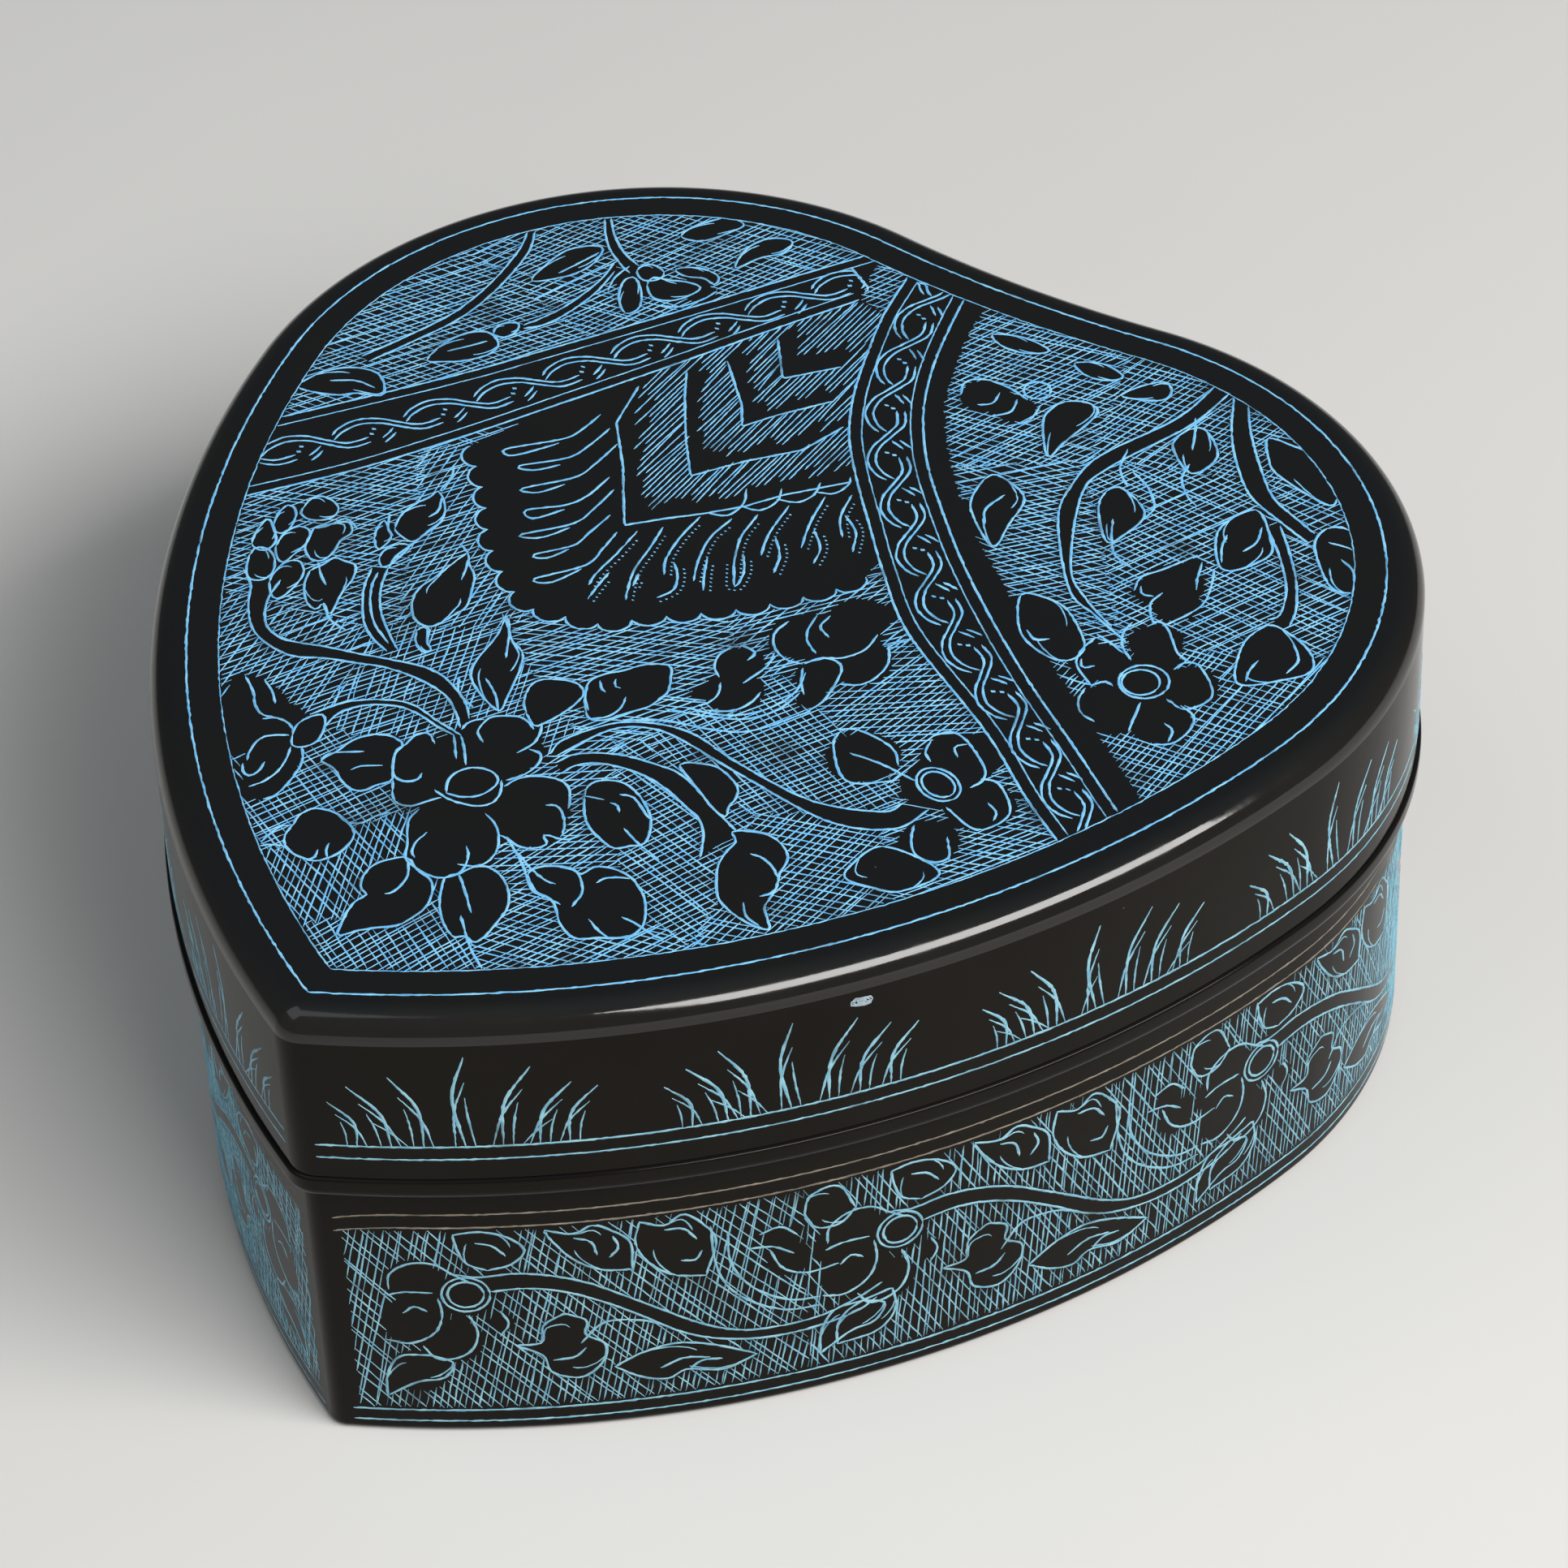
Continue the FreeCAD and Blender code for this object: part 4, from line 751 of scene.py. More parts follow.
# Leaves of the front field, whose inner lines are among the lines below
FRONT_LEAVES = [
    [(-15.5, -30.4), (-15.1, -29.1), (-14.9, -27.7), (-14.6, -26.7), (-13.7, -25.6), (-12.5, -25),
     (-10.9, -25.3), (-10.8, -26.6), (-10, -28), (-9.1, -29.4), (-9.8, -30.5), (-10.3, -31.6),
     (-11.3, -32), (-12.7, -31.5), (-13.9, -30.7)],
    [(-12.7, -38), (-13, -36.8), (-12.6, -35.6), (-11.7, -35.1), (-10.4, -35), (-9.1, -35.4), (-8, -36),
     (-7.5, -37.1), (-7.5, -38.5), (-7.9, -39.6), (-8.6, -40.5), (-9.7, -40.7), (-10.7, -40.7),
     (-11.9, -40.2), (-12.6, -39.1)],
    [(-2.5, -36.3), (-3.6, -37.2), (-4.3, -38.4), (-4.2, -40), (-3.5, -41.2), (-2.7, -41.5), (-3, -42.6),
     (-2.8, -44.1), (-2.3, -45.6), (-1.8, -46.6), (-0.8, -45.3), (0.3, -44.2), (1.5, -43.2), (2, -41.8),
     (2.2, -40.2), (1.6, -38.5), (0.6, -37.4), (-0.8, -37.1)],
    [(1.5, -36.5), (2.1, -38), (3.1, -39.6), (4.6, -41.1), (6.2, -41.9), (6.8, -41.3), (7.9, -41.6),
     (8.2, -40.5), (8.1, -38.8), (7.8, -36.9), (6.8, -35.3), (5.2, -34.1), (3.6, -33.8), (2.6, -34.6),
     (2.2, -35.7)],
    [(6.9, -32.8), (7.2, -31.7), (8.2, -30.9), (9.5, -30.4), (10.6, -30.6), (11, -29.3), (12.5, -28.7),
     (14.1, -28.8), (15.8, -29.7), (17.1, -31), (18.2, -33), (18, -34.5), (17, -35.4), (15.9, -36),
     (15.1, -36.7), (14.1, -37), (12.4, -36.2), (11, -34.8), (9.9, -34.2), (8.7, -34.2)],
    [(5.5, -22.8), (5, -21.6), (5.5, -20.5), (6.9, -19.8), (8.4, -20), (10.1, -20.9), (11.6, -22.2),
     (12.6, -23.9), (12.8, -25.1), (12, -25.8), (11, -26.7), (9.1, -26.2), (7.7, -25.5), (6.6, -24.4)],
    [(18.1, -20.1), (19, -20.9), (19, -22.2), (19.3, -23.8), (20, -25.2), (21.4, -27.1), (22.9, -27.9),
     (24.4, -28.3), (25.7, -28.4), (27, -28.1), (25.9, -26.9), (25.2, -26.1), (25, -24.8), (24.6, -23.3),
     (24.1, -22.3), (23.9, -21.1), (23.4, -20), (22, -19.1), (20.6, -18.9), (19, -19.4)],
    [(9.9, -15.5), (11.1, -14.6), (12.6, -14.2), (14.1, -14.6), (15.5, -15.4), (16.1, -16.5),
     (16.2, -17.8), (16.7, -18.9), (15.3, -18.6), (13.3, -17.5), (11.4, -16.5)],
    [(-4.5, -16.8), (-5.6, -15.6), (-6.2, -13.7), (-5.7, -12.6), (-4.3, -11.8), (-2.9, -11.6),
     (-1.8, -12.4), (-1.7, -13.7), (-1.9, -15.2), (-2.4, -16.9), (-3, -17.8)],
    [(-0.4, -14.1), (-1.4, -12.8), (-2.3, -10.9), (-1.8, -9.5), (-0.5, -8), (0.3, -6.8), (2.2, -5.7),
     (3.3, -7.1), (4, -8.6), (3.9, -9.6), (3.7, -10.9), (2.6, -12.5), (1.5, -14.2), (0.4, -14.7)],
    [(-19.4, -29.1), (-19.8, -28.1), (-19.7, -26.9), (-18.9, -25.8), (-18.2, -26.2), (-17.5, -27.4),
     (-17.2, -28.9), (-17.8, -29.9), (-18.6, -30.2)],
    [(-4.4, -28.3), (-5.2, -26.7), (-4.9, -25.3), (-3.9, -24.4), (-2.5, -24.3), (-1.6, -24.9),
     (-1.5, -26.1), (-2, -27.3), (-3.1, -28.1), (-3.9, -28.2)],
]
# Ground of the two flowers in front, kept free of hatch
FRONT_GROUNDS = [
    [(-10.8, -25.3), (-10.3, -23.4), (-9.1, -23.3), (-8.4, -22.1), (-7.9, -20.8), (-7.2, -19.3),
     (-5.9, -18.1), (-3.6, -17.6), (-2.5, -17.1), (-2, -18.4), (-0.2, -20.6), (-0.3, -23.3), (0.9, -22.7),
     (2.5, -22.2), (3.9, -22.8), (5.3, -24.7), (6.5, -27.1), (6.3, -29.1), (4.4, -30.5), (2.5, -30.5),
     (3.3, -32.1), (3.3, -33.4), (2.3, -34.5), (2, -36), (0.8, -37), (-1.3, -36.8), (-2.5, -36.3),
     (-4.3, -33.8), (-5.1, -32.4), (-5.2, -30.9), (-6.5, -31.4), (-7.9, -30.9), (-9.1, -29.3),
     (-10.3, -27.5), (-10.9, -26.2)],
    [(-27.9, -26.1), (-27.4, -25.3), (-25.9, -24.9), (-24, -25.2), (-21.6, -26.1), (-19.8, -26.6),
     (-19.8, -28.1), (-19.5, -29.2), (-17.8, -29.9), (-16.8, -31.7), (-16.3, -33.7), (-16.2, -36),
     (-16.9, -36.9), (-18.5, -36.5), (-20.9, -34.2), (-21.4, -32.2), (-22.6, -33.3), (-25.6, -30)],
]
LINES = [
    [(-13.5, -7.5), (-11.8, -9), (-10, -12)], [(-11.9, -16), (-10.8, -17.6), (-8.6, -18.6)],
    [(-9.9, -15), (-8, -16.3), (-6.5, -18)],
    [(-5.4, -28.5), (-4, -28.8), (-2.6, -28.7), (-1.3, -28.3), (-0.5, -27.4), (-0.6, -26), (-1.4, -24.7)],
    [(-5.4, -21.7), (-6, -21.3), (-6.6, -20.8), (-6.8, -19.8), (-6.7, -18.8), (-5.9, -18.1),
     (-4.7, -17.5), (-3.6, -17.7), (-2.8, -18.2)],
    [(-2.7, -17.2), (-2.1, -18.2), (-1.8, -19.7), (-2.3, -21.3)],
    [(-7.9, -21.3), (-7.9, -20.4), (-7.5, -19.6), (-7, -19.3)],
    [(-1.7, -20.4), (-0.8, -20.3), (-0.2, -20.8), (0, -21.9), (-0.3, -23.3), (-1.1, -24.5)],
    [(-10.8, -25.3), (-10.9, -26.2), (-10.3, -27.5), (-9.3, -28.8), (-8.3, -29), (-7.6, -28.6),
     (-7.3, -28), (-7.5, -27.4)],
    [(-9, -29.3), (-8.1, -30.6), (-7.2, -31.4), (-6, -31.2), (-5.5, -30.6), (-4.9, -29.6), (-4.4, -29)],
    [(-10.7, -25.4), (-10.7, -23.8), (-9.9, -23.1), (-8.7, -23.9)],
    [(-8, -22.2), (-7, -23.4), (-6.1, -24.5)], [(-7.5, -21.9), (-6.4, -23), (-5, -24.7)],
    [(-5.1, -31.1), (-5.1, -32.4), (-4.3, -33.8), (-3.4, -35), (-2.6, -36.4), (-1.2, -36.9), (0.8, -37),
     (2, -36), (2.1, -34.8), (1.5, -33.4), (0.8, -32.7)],
    [(-0.2, -28.7), (1, -29.2), (2.2, -30.2), (3.2, -31.9), (3.3, -33.4), (2.7, -34.3), (1.4, -34.8)],
    [(-2.9, -33), (-3, -34.4), (-2.6, -35.5), (-2, -36)],
    [(-0.8, -25.2), (-0.3, -23.7), (0.9, -22.7), (2.5, -22.2), (3.8, -22.6), (5, -24.2), (5.2, -24.7)],
    [(3.4, -25.3), (4.1, -24.9), (5, -25.3), (6.1, -26.5), (6.6, -27.6)],
    [(8, -26.7), (7.1, -27.9), (5.3, -28.3), (6.2, -29.1), (5.5, -30.1), (4.4, -30.5), (3, -30.2),
     (2.2, -30.2)],
    [(-15.4, -30.6), (-15.6, -29.8), (-14.9, -28.9), (-13.1, -27.7)],
    [(-12.7, -30.1), (-12.3, -29.3), (-10.8, -28.3)],
    [(-12.7, -38), (-13.5, -38.7), (-13.7, -40.2), (-13.7, -40.9)],
    [(-11.8, -40.4), (-12.9, -40.8), (-13.6, -41.7), (-13.2, -43.3)],
    [(-10.4, -35), (-9.1, -35.4), (-8, -34.7), (-7.6, -33.5), (-6.9, -32.6)],
    [(-8.9, -38.2), (-8.6, -39), (-8, -39.7)], [(-9.2, -39.3), (-8.9, -40.2), (-9.4, -40.7)],
    [(-2.2, -36.6), (-1.3, -37.8), (-1, -39), (-1.1, -40.2), (-1.5, -40.7)],
    [(2.2, -35.7), (3.7, -37), (5.7, -38.9)],
    [(5.2, -39.6), (6.3, -40.7), (8.1, -42.3), (9.4, -43.2), (10.6, -44)],
    [(8.5, -30.8), (9.9, -30.5), (11, -31.2), (11.9, -32.4), (12.1, -34.1)],
    [(12.2, -30.8), (12.4, -30.1), (13.2, -29.4), (14.2, -29)],
    [(14.1, -34.6), (15.5, -35.3), (16.8, -35.6)],
    [(16.2, -33), (17.7, -33.1), (19.8, -33.5), (20.6, -33.3)],
    [(2.9, -30.1), (5.2, -31.6), (6.8, -32.9), (8.3, -34.2), (9.5, -34.3), (11.2, -34.4)],
    [(4.6, -31.1), (6.6, -32.1), (8.6, -32.7), (9.5, -32.6)], [(5.3, -22.8), (6.2, -22.5), (7.1, -22.3)],
    [(7.7, -22.3), (8.4, -22.3), (9, -22.9)], [(7.8, -21.1), (8.9, -20.8), (10.4, -21.6), (11.5, -22.3)],
    [(10.4, -24.3), (12.2, -25.1), (13.8, -25.6), (15, -26)],
    [(20.8, -21.5), (21.9, -21.4), (23.2, -21.9), (24.2, -22.7)],
    [(23.5, -26.6), (24.6, -27.8), (26.1, -28.2)], [(24.2, -25.3), (24.8, -24.5), (24.8, -23.9)],
    [(-2.2, -11.4), (-1.4, -12.8), (-0.3, -13.9)], [(-1.6, -10.3), (-0.9, -11.1), (-0.4, -11.3)],
    [(-0.6, -9.5), (-0.2, -10.2), (0.4, -10.2)], [(1.4, -10.9), (1.8, -12.3), (1.5, -13.7), (0.3, -14.8)],
    [(-22.7, -28.8), (-21.9, -28.1), (-20.5, -28.1), (-19.8, -28.6)],
    [(-19.6, -29.3), (-20.8, -30), (-21.4, -30.9), (-21.2, -32.5), (-20.7, -33.6)],
    [(-18.6, -30.4), (-18, -31.9), (-17.7, -33.6), (-18, -35), (-18.6, -36.1)],
    [(-20.7, -34.1), (-20.1, -34.9), (-19.3, -35), (-19.1, -34), (-19.3, -33)],
    [(-27.2, -25.2), (-25.4, -26.5), (-24.3, -27.7), (-23, -28.4), (-22.2, -28.1)],
    [(-25.6, -24.7), (-24, -25.7), (-23, -26.7)],
    [(-17.8, -29.9), (-16.7, -31.4), (-16.2, -33.4), (-16.1, -35.7), (-16.7, -36.7)],
    [(-30.9, -10.1), (-29.6, -11.4), (-28.5, -12.2)],
    [(-27.3, -14.2), (-25.8, -15.5), (-24.7, -15.9), (-23.5, -16.1)],
    [(-28.7, 6.7), (-27.9, 5.1), (-27.7, 3.1)], [(-27, 2.5), (-26.2, 0.9), (-26.4, -0.3)],
    [(-29.5, -1.7), (-28.5, -3.3), (-27.5, -4)],
    [(-25, 0.1), (-25.3, -1.6), (-25.4, -3.8), (-25.7, -5.8), (-25.3, -7.7)],
    [(-25.7, -8.6), (-25.1, -10.3), (-23.7, -12.4), (-21.9, -14.2), (-19.5, -15.6)],
    [(-22, -1.7), (-20.7, -2.5)], [(-20.2, -3.1), (-19.6, -4.3), (-19.1, -5.7)],
    [(-33.9, -6.6), (-33.2, -5.9), (-32.7, -4.7), (-32.3, -4.1), (-30.8, -4.7)],
    [(25.6, -1.9), (26.6, -0.6), (28.4, -0.9), (31.4, -3), (32, -4.4), (31.6, -5.6)],
    [(25.8, -2.2), (26.2, -3.8), (27.2, -4.6)], [(28.6, -1.2), (27.9, -2), (28.8, -3)],
    [(31.8, -4.2), (33.4, -4), (36, -6.6), (34.8, -9.6), (31.2, -8.6)],
    [(33.8, -6.4), (35, -7), (35.3, -8)], [(18.6, -5.2), (19.8, -4.4), (22, -4.4), (24, -5), (25.2, -6.4)],
    [(18.9, -5.4), (19.2, -6.8), (21.6, -9.6), (23.4, -10), (26, -8)],
    [(21, -7.1), (23.8, -6.9), (27.4, -7.2)],
    [(30.2, -11.8), (30.8, -13.2), (32, -14.6), (33.6, -14.8), (34.6, -13.6), (33.2, -11.6)],
    [(7.6, 4.2), (7.4, 2.4), (8.4, 0.8), (10, 0), (11.6, 0.2)],
    [(9.2, 6), (9.6, 4), (10.4, 2.8), (11.8, 1.9)], [(10.2, 6.6), (10.2, 5), (11.6, 4.2)],
    [(14.9, 6.6), (15, 4.4), (14, 2.6), (12.8, 1.9)],
    [(16.4, 6), (17.6, 4), (17.7, 1.8), (17, 0.4), (15.6, -0.3)],
    [(11.7, 0.3), (12.4, 1.6), (13.6, 2), (14.8, 1.2), (15.6, -2.5), (15.2, -4.6)],
    [(11.9, -0.2), (12.6, -1.6), (13.8, -3)], [(5.3, -1), (5, -2.6), (5.6, -4), (6.6, -4.8)],
    [(5.8, -0.4), (7.4, -0.6), (7.4, -1.8)], [(8.8, 0.2), (9.2, -1.6), (8.7, -4.4)],
    [(7.1, -5.3), (7.7, -6.6), (7.6, -8), (7, -8.8)], [(8, -8.8), (9.8, -7.8), (10.6, -6.2), (10.6, -4.6)],
    [(6.3, -9.4), (9, -8.8), (11, -7.6), (12.4, -5.6), (13, -3), (12.4, -0.6)],
    [(5, -10.4), (8.4, -9.4), (11.4, -8), (13, -5.6), (13.4, -3)],
    [(2.8, -13.4), (6, -11.6), (9.6, -10.6), (12.6, -9), (15.4, -4.4)],
    [(33.6, 19.8), (34.2, 20.3), (35.4, 19.6), (37.4, 17.6), (38.6, 17.2)],
    [(38.2, 15.6), (38.6, 16.9), (40, 17), (42.6, 14.4), (41.6, 11.8), (39.6, 12.1)],
    [(41, 12), (42.6, 11.4), (43.2, 9.6), (42.8, 7.6), (41.4, 6.6)], [(41, 9.4), (42, 9), (42.4, 7.6)],
    [(38, 10.6), (38.6, 8.4), (39, 7)], [(33.2, 9.8), (33.4, 8.4), (34.4, 7), (36, 6.6)],
    [(33.4, 10.4), (34.2, 11.4), (35, 11.2)], [(30.6, 15.6), (30.4, 14), (31, 12), (33.6, 10.2)],
    [(31, 12.8), (31.6, 11.9), (32.4, 12.6)], [(32.2, 19), (32.2, 17.6), (33, 16), (34.6, 14.8)],
    [(30.4, 16.2), (32, 15.8), (33.6, 15.2)], [(30.2, 22.6), (29.8, 24.4), (30.8, 26.2), (32.4, 29.4)],
    [(33.2, 28.8), (34, 26.6), (34.6, 25.4)], [(34.6, 28.4), (35.6, 26), (36, 23.6), (34.8, 20.2)],
    [(32.4, 23.6), (32.2, 22), (33.2, 20.4), (34, 19.8)], [(30.4, 23.4), (31, 22.6), (32, 22.8)],
    [(33.2, 33), (33.6, 31.4), (34.6, 29.6)], [(35.2, 35.4), (35.8, 33.4), (35.4, 31.8)],
    [(45, 23.6), (46.4, 22), (46.4, 20)], [(43.6, 20.2), (43.6, 18.8), (44, 17.4)],
    [(41, 36.6), (43, 36.8), (45, 35.8), (46.4, 33.8)], [(43, 35.2), (44.6, 34.4), (45.6, 32.8)],
    [(22.8, 45.4), (23.8, 43.6), (24.8, 41.4)], [(25.6, 39.6), (26, 37.6), (27.6, 35.8), (29, 35)],
    [(20, 38.6), (20.8, 36), (22.6, 34.2)], [(22, 36.2), (24.2, 35), (26, 33), (26, 31)],
    [(23.8, 29.8), (25, 27.6), (26.4, 25.8), (28.4, 25.2)], [(14.2, 27.8), (13.8, 25.4), (14.8, 23.6)],
    [(25.2, 13.6), (26.4, 12.9), (27.4, 13.6)], [(3.6, 37.6), (3, 39.4), (4.4, 40.6), (7, 40.6), (9, 40)],
    [(5.6, 37.2), (6.6, 38), (6.4, 39.6)], [(7.4, 36.4), (8.6, 37.8), (8.2, 39.6)],
    [(9.4, 36), (10.6, 37.6), (10.4, 39.8)], [(-36.7, 33.9), (-36, 36), (-35.3, 38.3)],
    [(-38.6, 19.4), (-37.4, 21), (-36.4, 22.4)], [(-31.4, 34), (-32, 36), (-31.8, 38)],
    [(-26.4, 34.6), (-24.6, 35.4), (-23.4, 37.4), (-23, 39)], [(-45, 10.6), (-43, 11.8), (-41, 11.8)],
]
# Centre, half width, half height and turn of each ring in the flowers
FLOWER_RINGS = ((29.2, -6.6, 2.2, 1.6, -25), (29.2, -6.6, 1.7, 1.2, -25), (36.9, 13, 2.1),
                (36.7, 12.8, 1.6), (9, 41.6, 1.2))
RING_STEPS = 24
# Stems, each two edges with dark ground between them
DOUBLE_STEMS = [
    ([(-8.1, -21.2), (-9.3, -20), (-11.3, -18.6), (-13.5, -18.1), (-15.9, -18), (-18.2, -18.3),
      (-20.2, -19), (-22.9, -19.9), (-25.1, -21), (-27.3, -21.1), (-29.5, -20.5), (-31.1, -19.4),
      (-32.9, -17.3), (-34, -15.5), (-35.8, -14.1)],
     [(-8.1, -19.9), (-9.3, -18.6), (-11.2, -17.4), (-13.2, -16.6), (-15.3, -16.5), (-18.2, -17.2),
      (-21, -18), (-23.8, -18.7), (-26.2, -19.5), (-27.8, -19.7), (-29.4, -19.2), (-30.7, -17.9),
      (-31.7, -16), (-32.2, -13.7)]),
    ([(-26.5, -8.4), (-25.7, -10.5), (-24.6, -12.3), (-22.9, -14.4), (-21.1, -15.7), (-19, -16.5)],
     [(-25.3, -7.7), (-24.4, -9.9), (-23.2, -11.7), (-21.7, -13.3), (-19.7, -14.9), (-18.3, -15.9)]),
    ([(0.1, -20), (0.1, -17.8), (3, -13.6), (8, -11.8), (14, -12.9), (21.5, -13.6), (27, -11.8),
      (28, -10.2)],
     [(0.7, -19.8), (2.6, -15), (5, -13.2), (8, -12.9), (15, -14), (24, -15), (29, -13), (30.2, -9.6)]),
    ([(-7.5, -21.9), (-10.4, -21.4), (-12.5, -20.9), (-14.1, -21), (-16.1, -21.9), (-17.8, -23.2),
      (-18.8, -24.6), (-19.7, -26.3)],
     [(-8, -22.2), (-10, -22), (-12, -21.6), (-13.7, -21.6), (-15.7, -22.4), (-17.1, -23.7),
      (-17.8, -25.2), (-17.7, -27)]),
    ([(1.1, -20.7), (1.7, -19.2), (3.1, -18), (5.3, -17), (7.6, -16.6), (10.1, -16.4), (12.4, -17.1),
      (14.9, -18.4), (17.1, -19.3), (18.4, -19.9)],
     [(2.3, -21.2), (2.8, -19.9), (4.1, -18.9), (6.2, -18.3), (8.7, -18.2), (11, -18.7), (13.1, -19.5),
      (14.9, -20.2), (16.1, -21.3), (16.9, -22.6), (17.6, -24)]),
    ([(33, 16.6), (29, 18.2), (25.4, 20), (19.8, 27.4), (18.4, 32), (18.4, 36.6), (21.4, 44.4), (22, 50)],
     [(31, 17.6), (27, 19.8), (24, 22.6), (19.9, 31), (19.9, 35.6), (22.9, 44.2), (23.6, 50)]),
    ([(24.2, 49.6), (26.4, 45.4), (29, 41.8), (32.2, 38.6), (35.8, 37), (39.6, 35.6)],
     [(25.6, 49.6), (28, 46), (31, 42.4), (34, 39.4), (37, 38), (39.4, 37)]),
    ([(36.4, 36.4), (38.6, 34), (41, 31), (43, 27.6), (43.6, 25.4)],
     [(35.6, 35.6), (38.4, 32.8), (41, 29.4), (42.2, 26.2), (41.6, 25.2)]),
    ([(-38.6, 43.9), (-36.4, 40.9), (-34.6, 39.1), (-32.5, 37.8), (-31.2, 37.2)],
     [(-37.8, 43.7), (-35.7, 41.3), (-33.4, 39.5), (-31.1, 38.5)]),
    ([(-33.3, 37.9), (-32.9, 34.9), (-33.3, 30.6), (-34.2, 27.7), (-35, 26)],
     [(-32.5, 36.7), (-32.2, 33.2), (-32.6, 29.6), (-33.4, 27.1), (-34.7, 25.6)]),
    ([(-44.7, 14.9), (-43, 19.2), (-41.4, 24.3), (-41.1, 29.6), (-41.8, 35), (-42.9, 38.1)],
     [(-43.7, 14.6), (-42.1, 18.8), (-40.4, 24), (-40.1, 29.4), (-40.8, 34.9), (-42.1, 37.9)]),
]
# Centre and radius of round spots kept free of hatch
CLEAR = [
    (29, -3.2, 3.2), (33.4, -7, 2.9), (22.2, -7, 3), (32.2, -12.8, 2.4), (29.2, -6.6, 3), (9.8, 3.2, 2.9),
    (12.6, 5, 3), (15.6, 2.8, 2.7), (13.5, -0.5, 1.9), (14.6, -3, 1.2), (12.5, 7.5, 2.6), (7.2, -2.6, 2.1),
    (8.6, -5.6, 2.5), (6.6, -7, 1), (35.2, 17.8, 2.2), (36.5, 16.5, 1.5), (40.4, 14.4, 2.4),
    (40.8, 9.2, 2.5), (35.4, 8.8, 2.2), (37.2, 8, 2), (32.4, 13.2, 2.3), (36.9, 13, 3), (32.6, 25, 2.6),
    (34.2, 22.8, 2), (31.4, 23.4, 1.6), (32.8, 28, 1), (5.6, 38.6, 2.2), (8.6, 38.4, 1.8),
    (-25.2, 39.6, 1.2), (-24, 38, 1.2), (-31.4, 36.4, 1.1),
]
# Centres of hand-hatched patches with the slopes of their two sets of strokes
PATCHES = [
    (-27, -24, 62, 100), (-12, -20, 58, 112), (-12, -33, 66, -25), (-5, -38, -68, -22), (4, -46, 72, -30),
    (12, -38, 68, 12), (8, -29, 75, 35), (15, -24, 68, -15), (25, -21, 84, 15), (36, -12, 62, 18),
    (18, -10, 62, -22), (22, -1, 80, 36), (-3, -4, 60, 24), (8, 8, 52, 84), (42, 5, 88, 6),
    (30, 30, 66, -4), (20, 22, 48, 2), (24, 48, 78, 8), (6, 42, 70, 10), (-30, -8, 64, 20),
    (-20, -2, 58, 100), (-40, 20, 60, 4), (-34, 40, 70, 8),
]
PATCH_REACH = 26
PATCH_OVERLAP = 0.45
SPARSE = 1.35

# Both edges of each ribbon, and the brim beside the first
RIBBON_EDGES = [
    ([(41, -7.4), (36, -4.2), (28.9, 1), (17.1, 8), (11, 13.6), (6.2, 18.7), (2.4, 22.8), (-1.1, 27),
      (-3.2, 30.4), (-4.9, 33.9), (-6.8, 39), (-8.4, 44), (-9.6, 50)],
     [(46, -3.6), (43.2, -1.8), (36, 3.2), (28.9, 8), (22, 13.2), (15.9, 18.3), (11.2, 22.8), (7.2, 26.9),
      (4.4, 30.4), (2, 34.1), (0.2, 37.8), (-1.2, 41.5), (-2.9, 47.3), (-4, 52)]),
    ([(-47.8, 1.3), (-36.5, 16.2), (-31, 24.4), (-24.3, 34.8), (-18.5, 44), (-13.6, 51.7)],
     [(-43.4, -8.4), (-36, 1.2), (-30.6, 9.8), (-25.4, 19), (-20.4, 28), (-15.6, 37), (-11.4, 44.5)]),
]
RIBBON_BRIM = [
    (45, -0.3), (36, 6), (29.5, 10.7), (22.6, 15.8), (16.1, 20.9), (12.2, 24.4), (8.9, 27.9), (5.6, 32),
    (3, 36), (1.4, 39.8), (0, 43.6), (-1, 48.4), (-1.4, 52),
]
RIBBON_GAP = 1.1
RIBBON_STEP = 2.0
RIBBON_SPOTS = 60
# Each strand of the rope comes from under the one before it and runs over the next
STRAND = (
    [(-6.2, -1.7), (-5.6, -1.35), (-4.9, -0.8)],
    [(-3.6, 0.3), (-2.6, 1.1), (-0.9, 1.55), (0.9, 1), (2.3, -0.1), (4, -1.25), (5.9, -1.2)],
)
STRAND_PITCH = 6.6
STRAND_GAP = 0.7
STRAND_DOTS = ((6.3, -0.5), (6.7, 0.1))
STRAND_DOT = 0.22

CHEVRONS = [
    [(-14.5, 36), (-11, 31.5), (-7.5, 35.5)],
    [(-16.5, 31), (-15.5, 30), (-12, 26.5), (-10.3, 24), (-8.5, 27), (-5.5, 31)],
    [(-18.8, 28), (-17, 25), (-13.5, 20), (-10.3, 16), (-7.5, 20), (-4, 24), (-2.7, 28.5)],
    [(-21.2, 24), (-20, 18.8), (-16, 14), (-11.4, 7.5), (-9, 10), (-6.5, 12.3), (-4, 15), (-2, 18),
     (2, 22.5)],
]
CHEVRON_SCALLOPS = [
    [(-6.2, 12.6), (-4.6, 13.2), (-4.3, 15.2), (-5.2, 17)],
    [(-4.4, 14.8), (-2.6, 15.2), (-2, 17), (-2.6, 18.6)],
    [(-2.2, 17.2), (-0.4, 17.8), (0.2, 19.4), (-0.2, 21)], [(0.2, 19.8), (1.6, 20.4), (2, 22), (1.6, 23)],
]
FRINGE_TOP = [(-17, 43), (-8, 46), (-6, 43)]
FRINGE_GAP = 0.46
FRINGE_MARGIN = 0.9
FRINGE_OVER = 4
FRINGE_LEAST = 0.6
FRINGE_LEAN = 0.15
FRINGE_REACH = (0.6, 0.9)
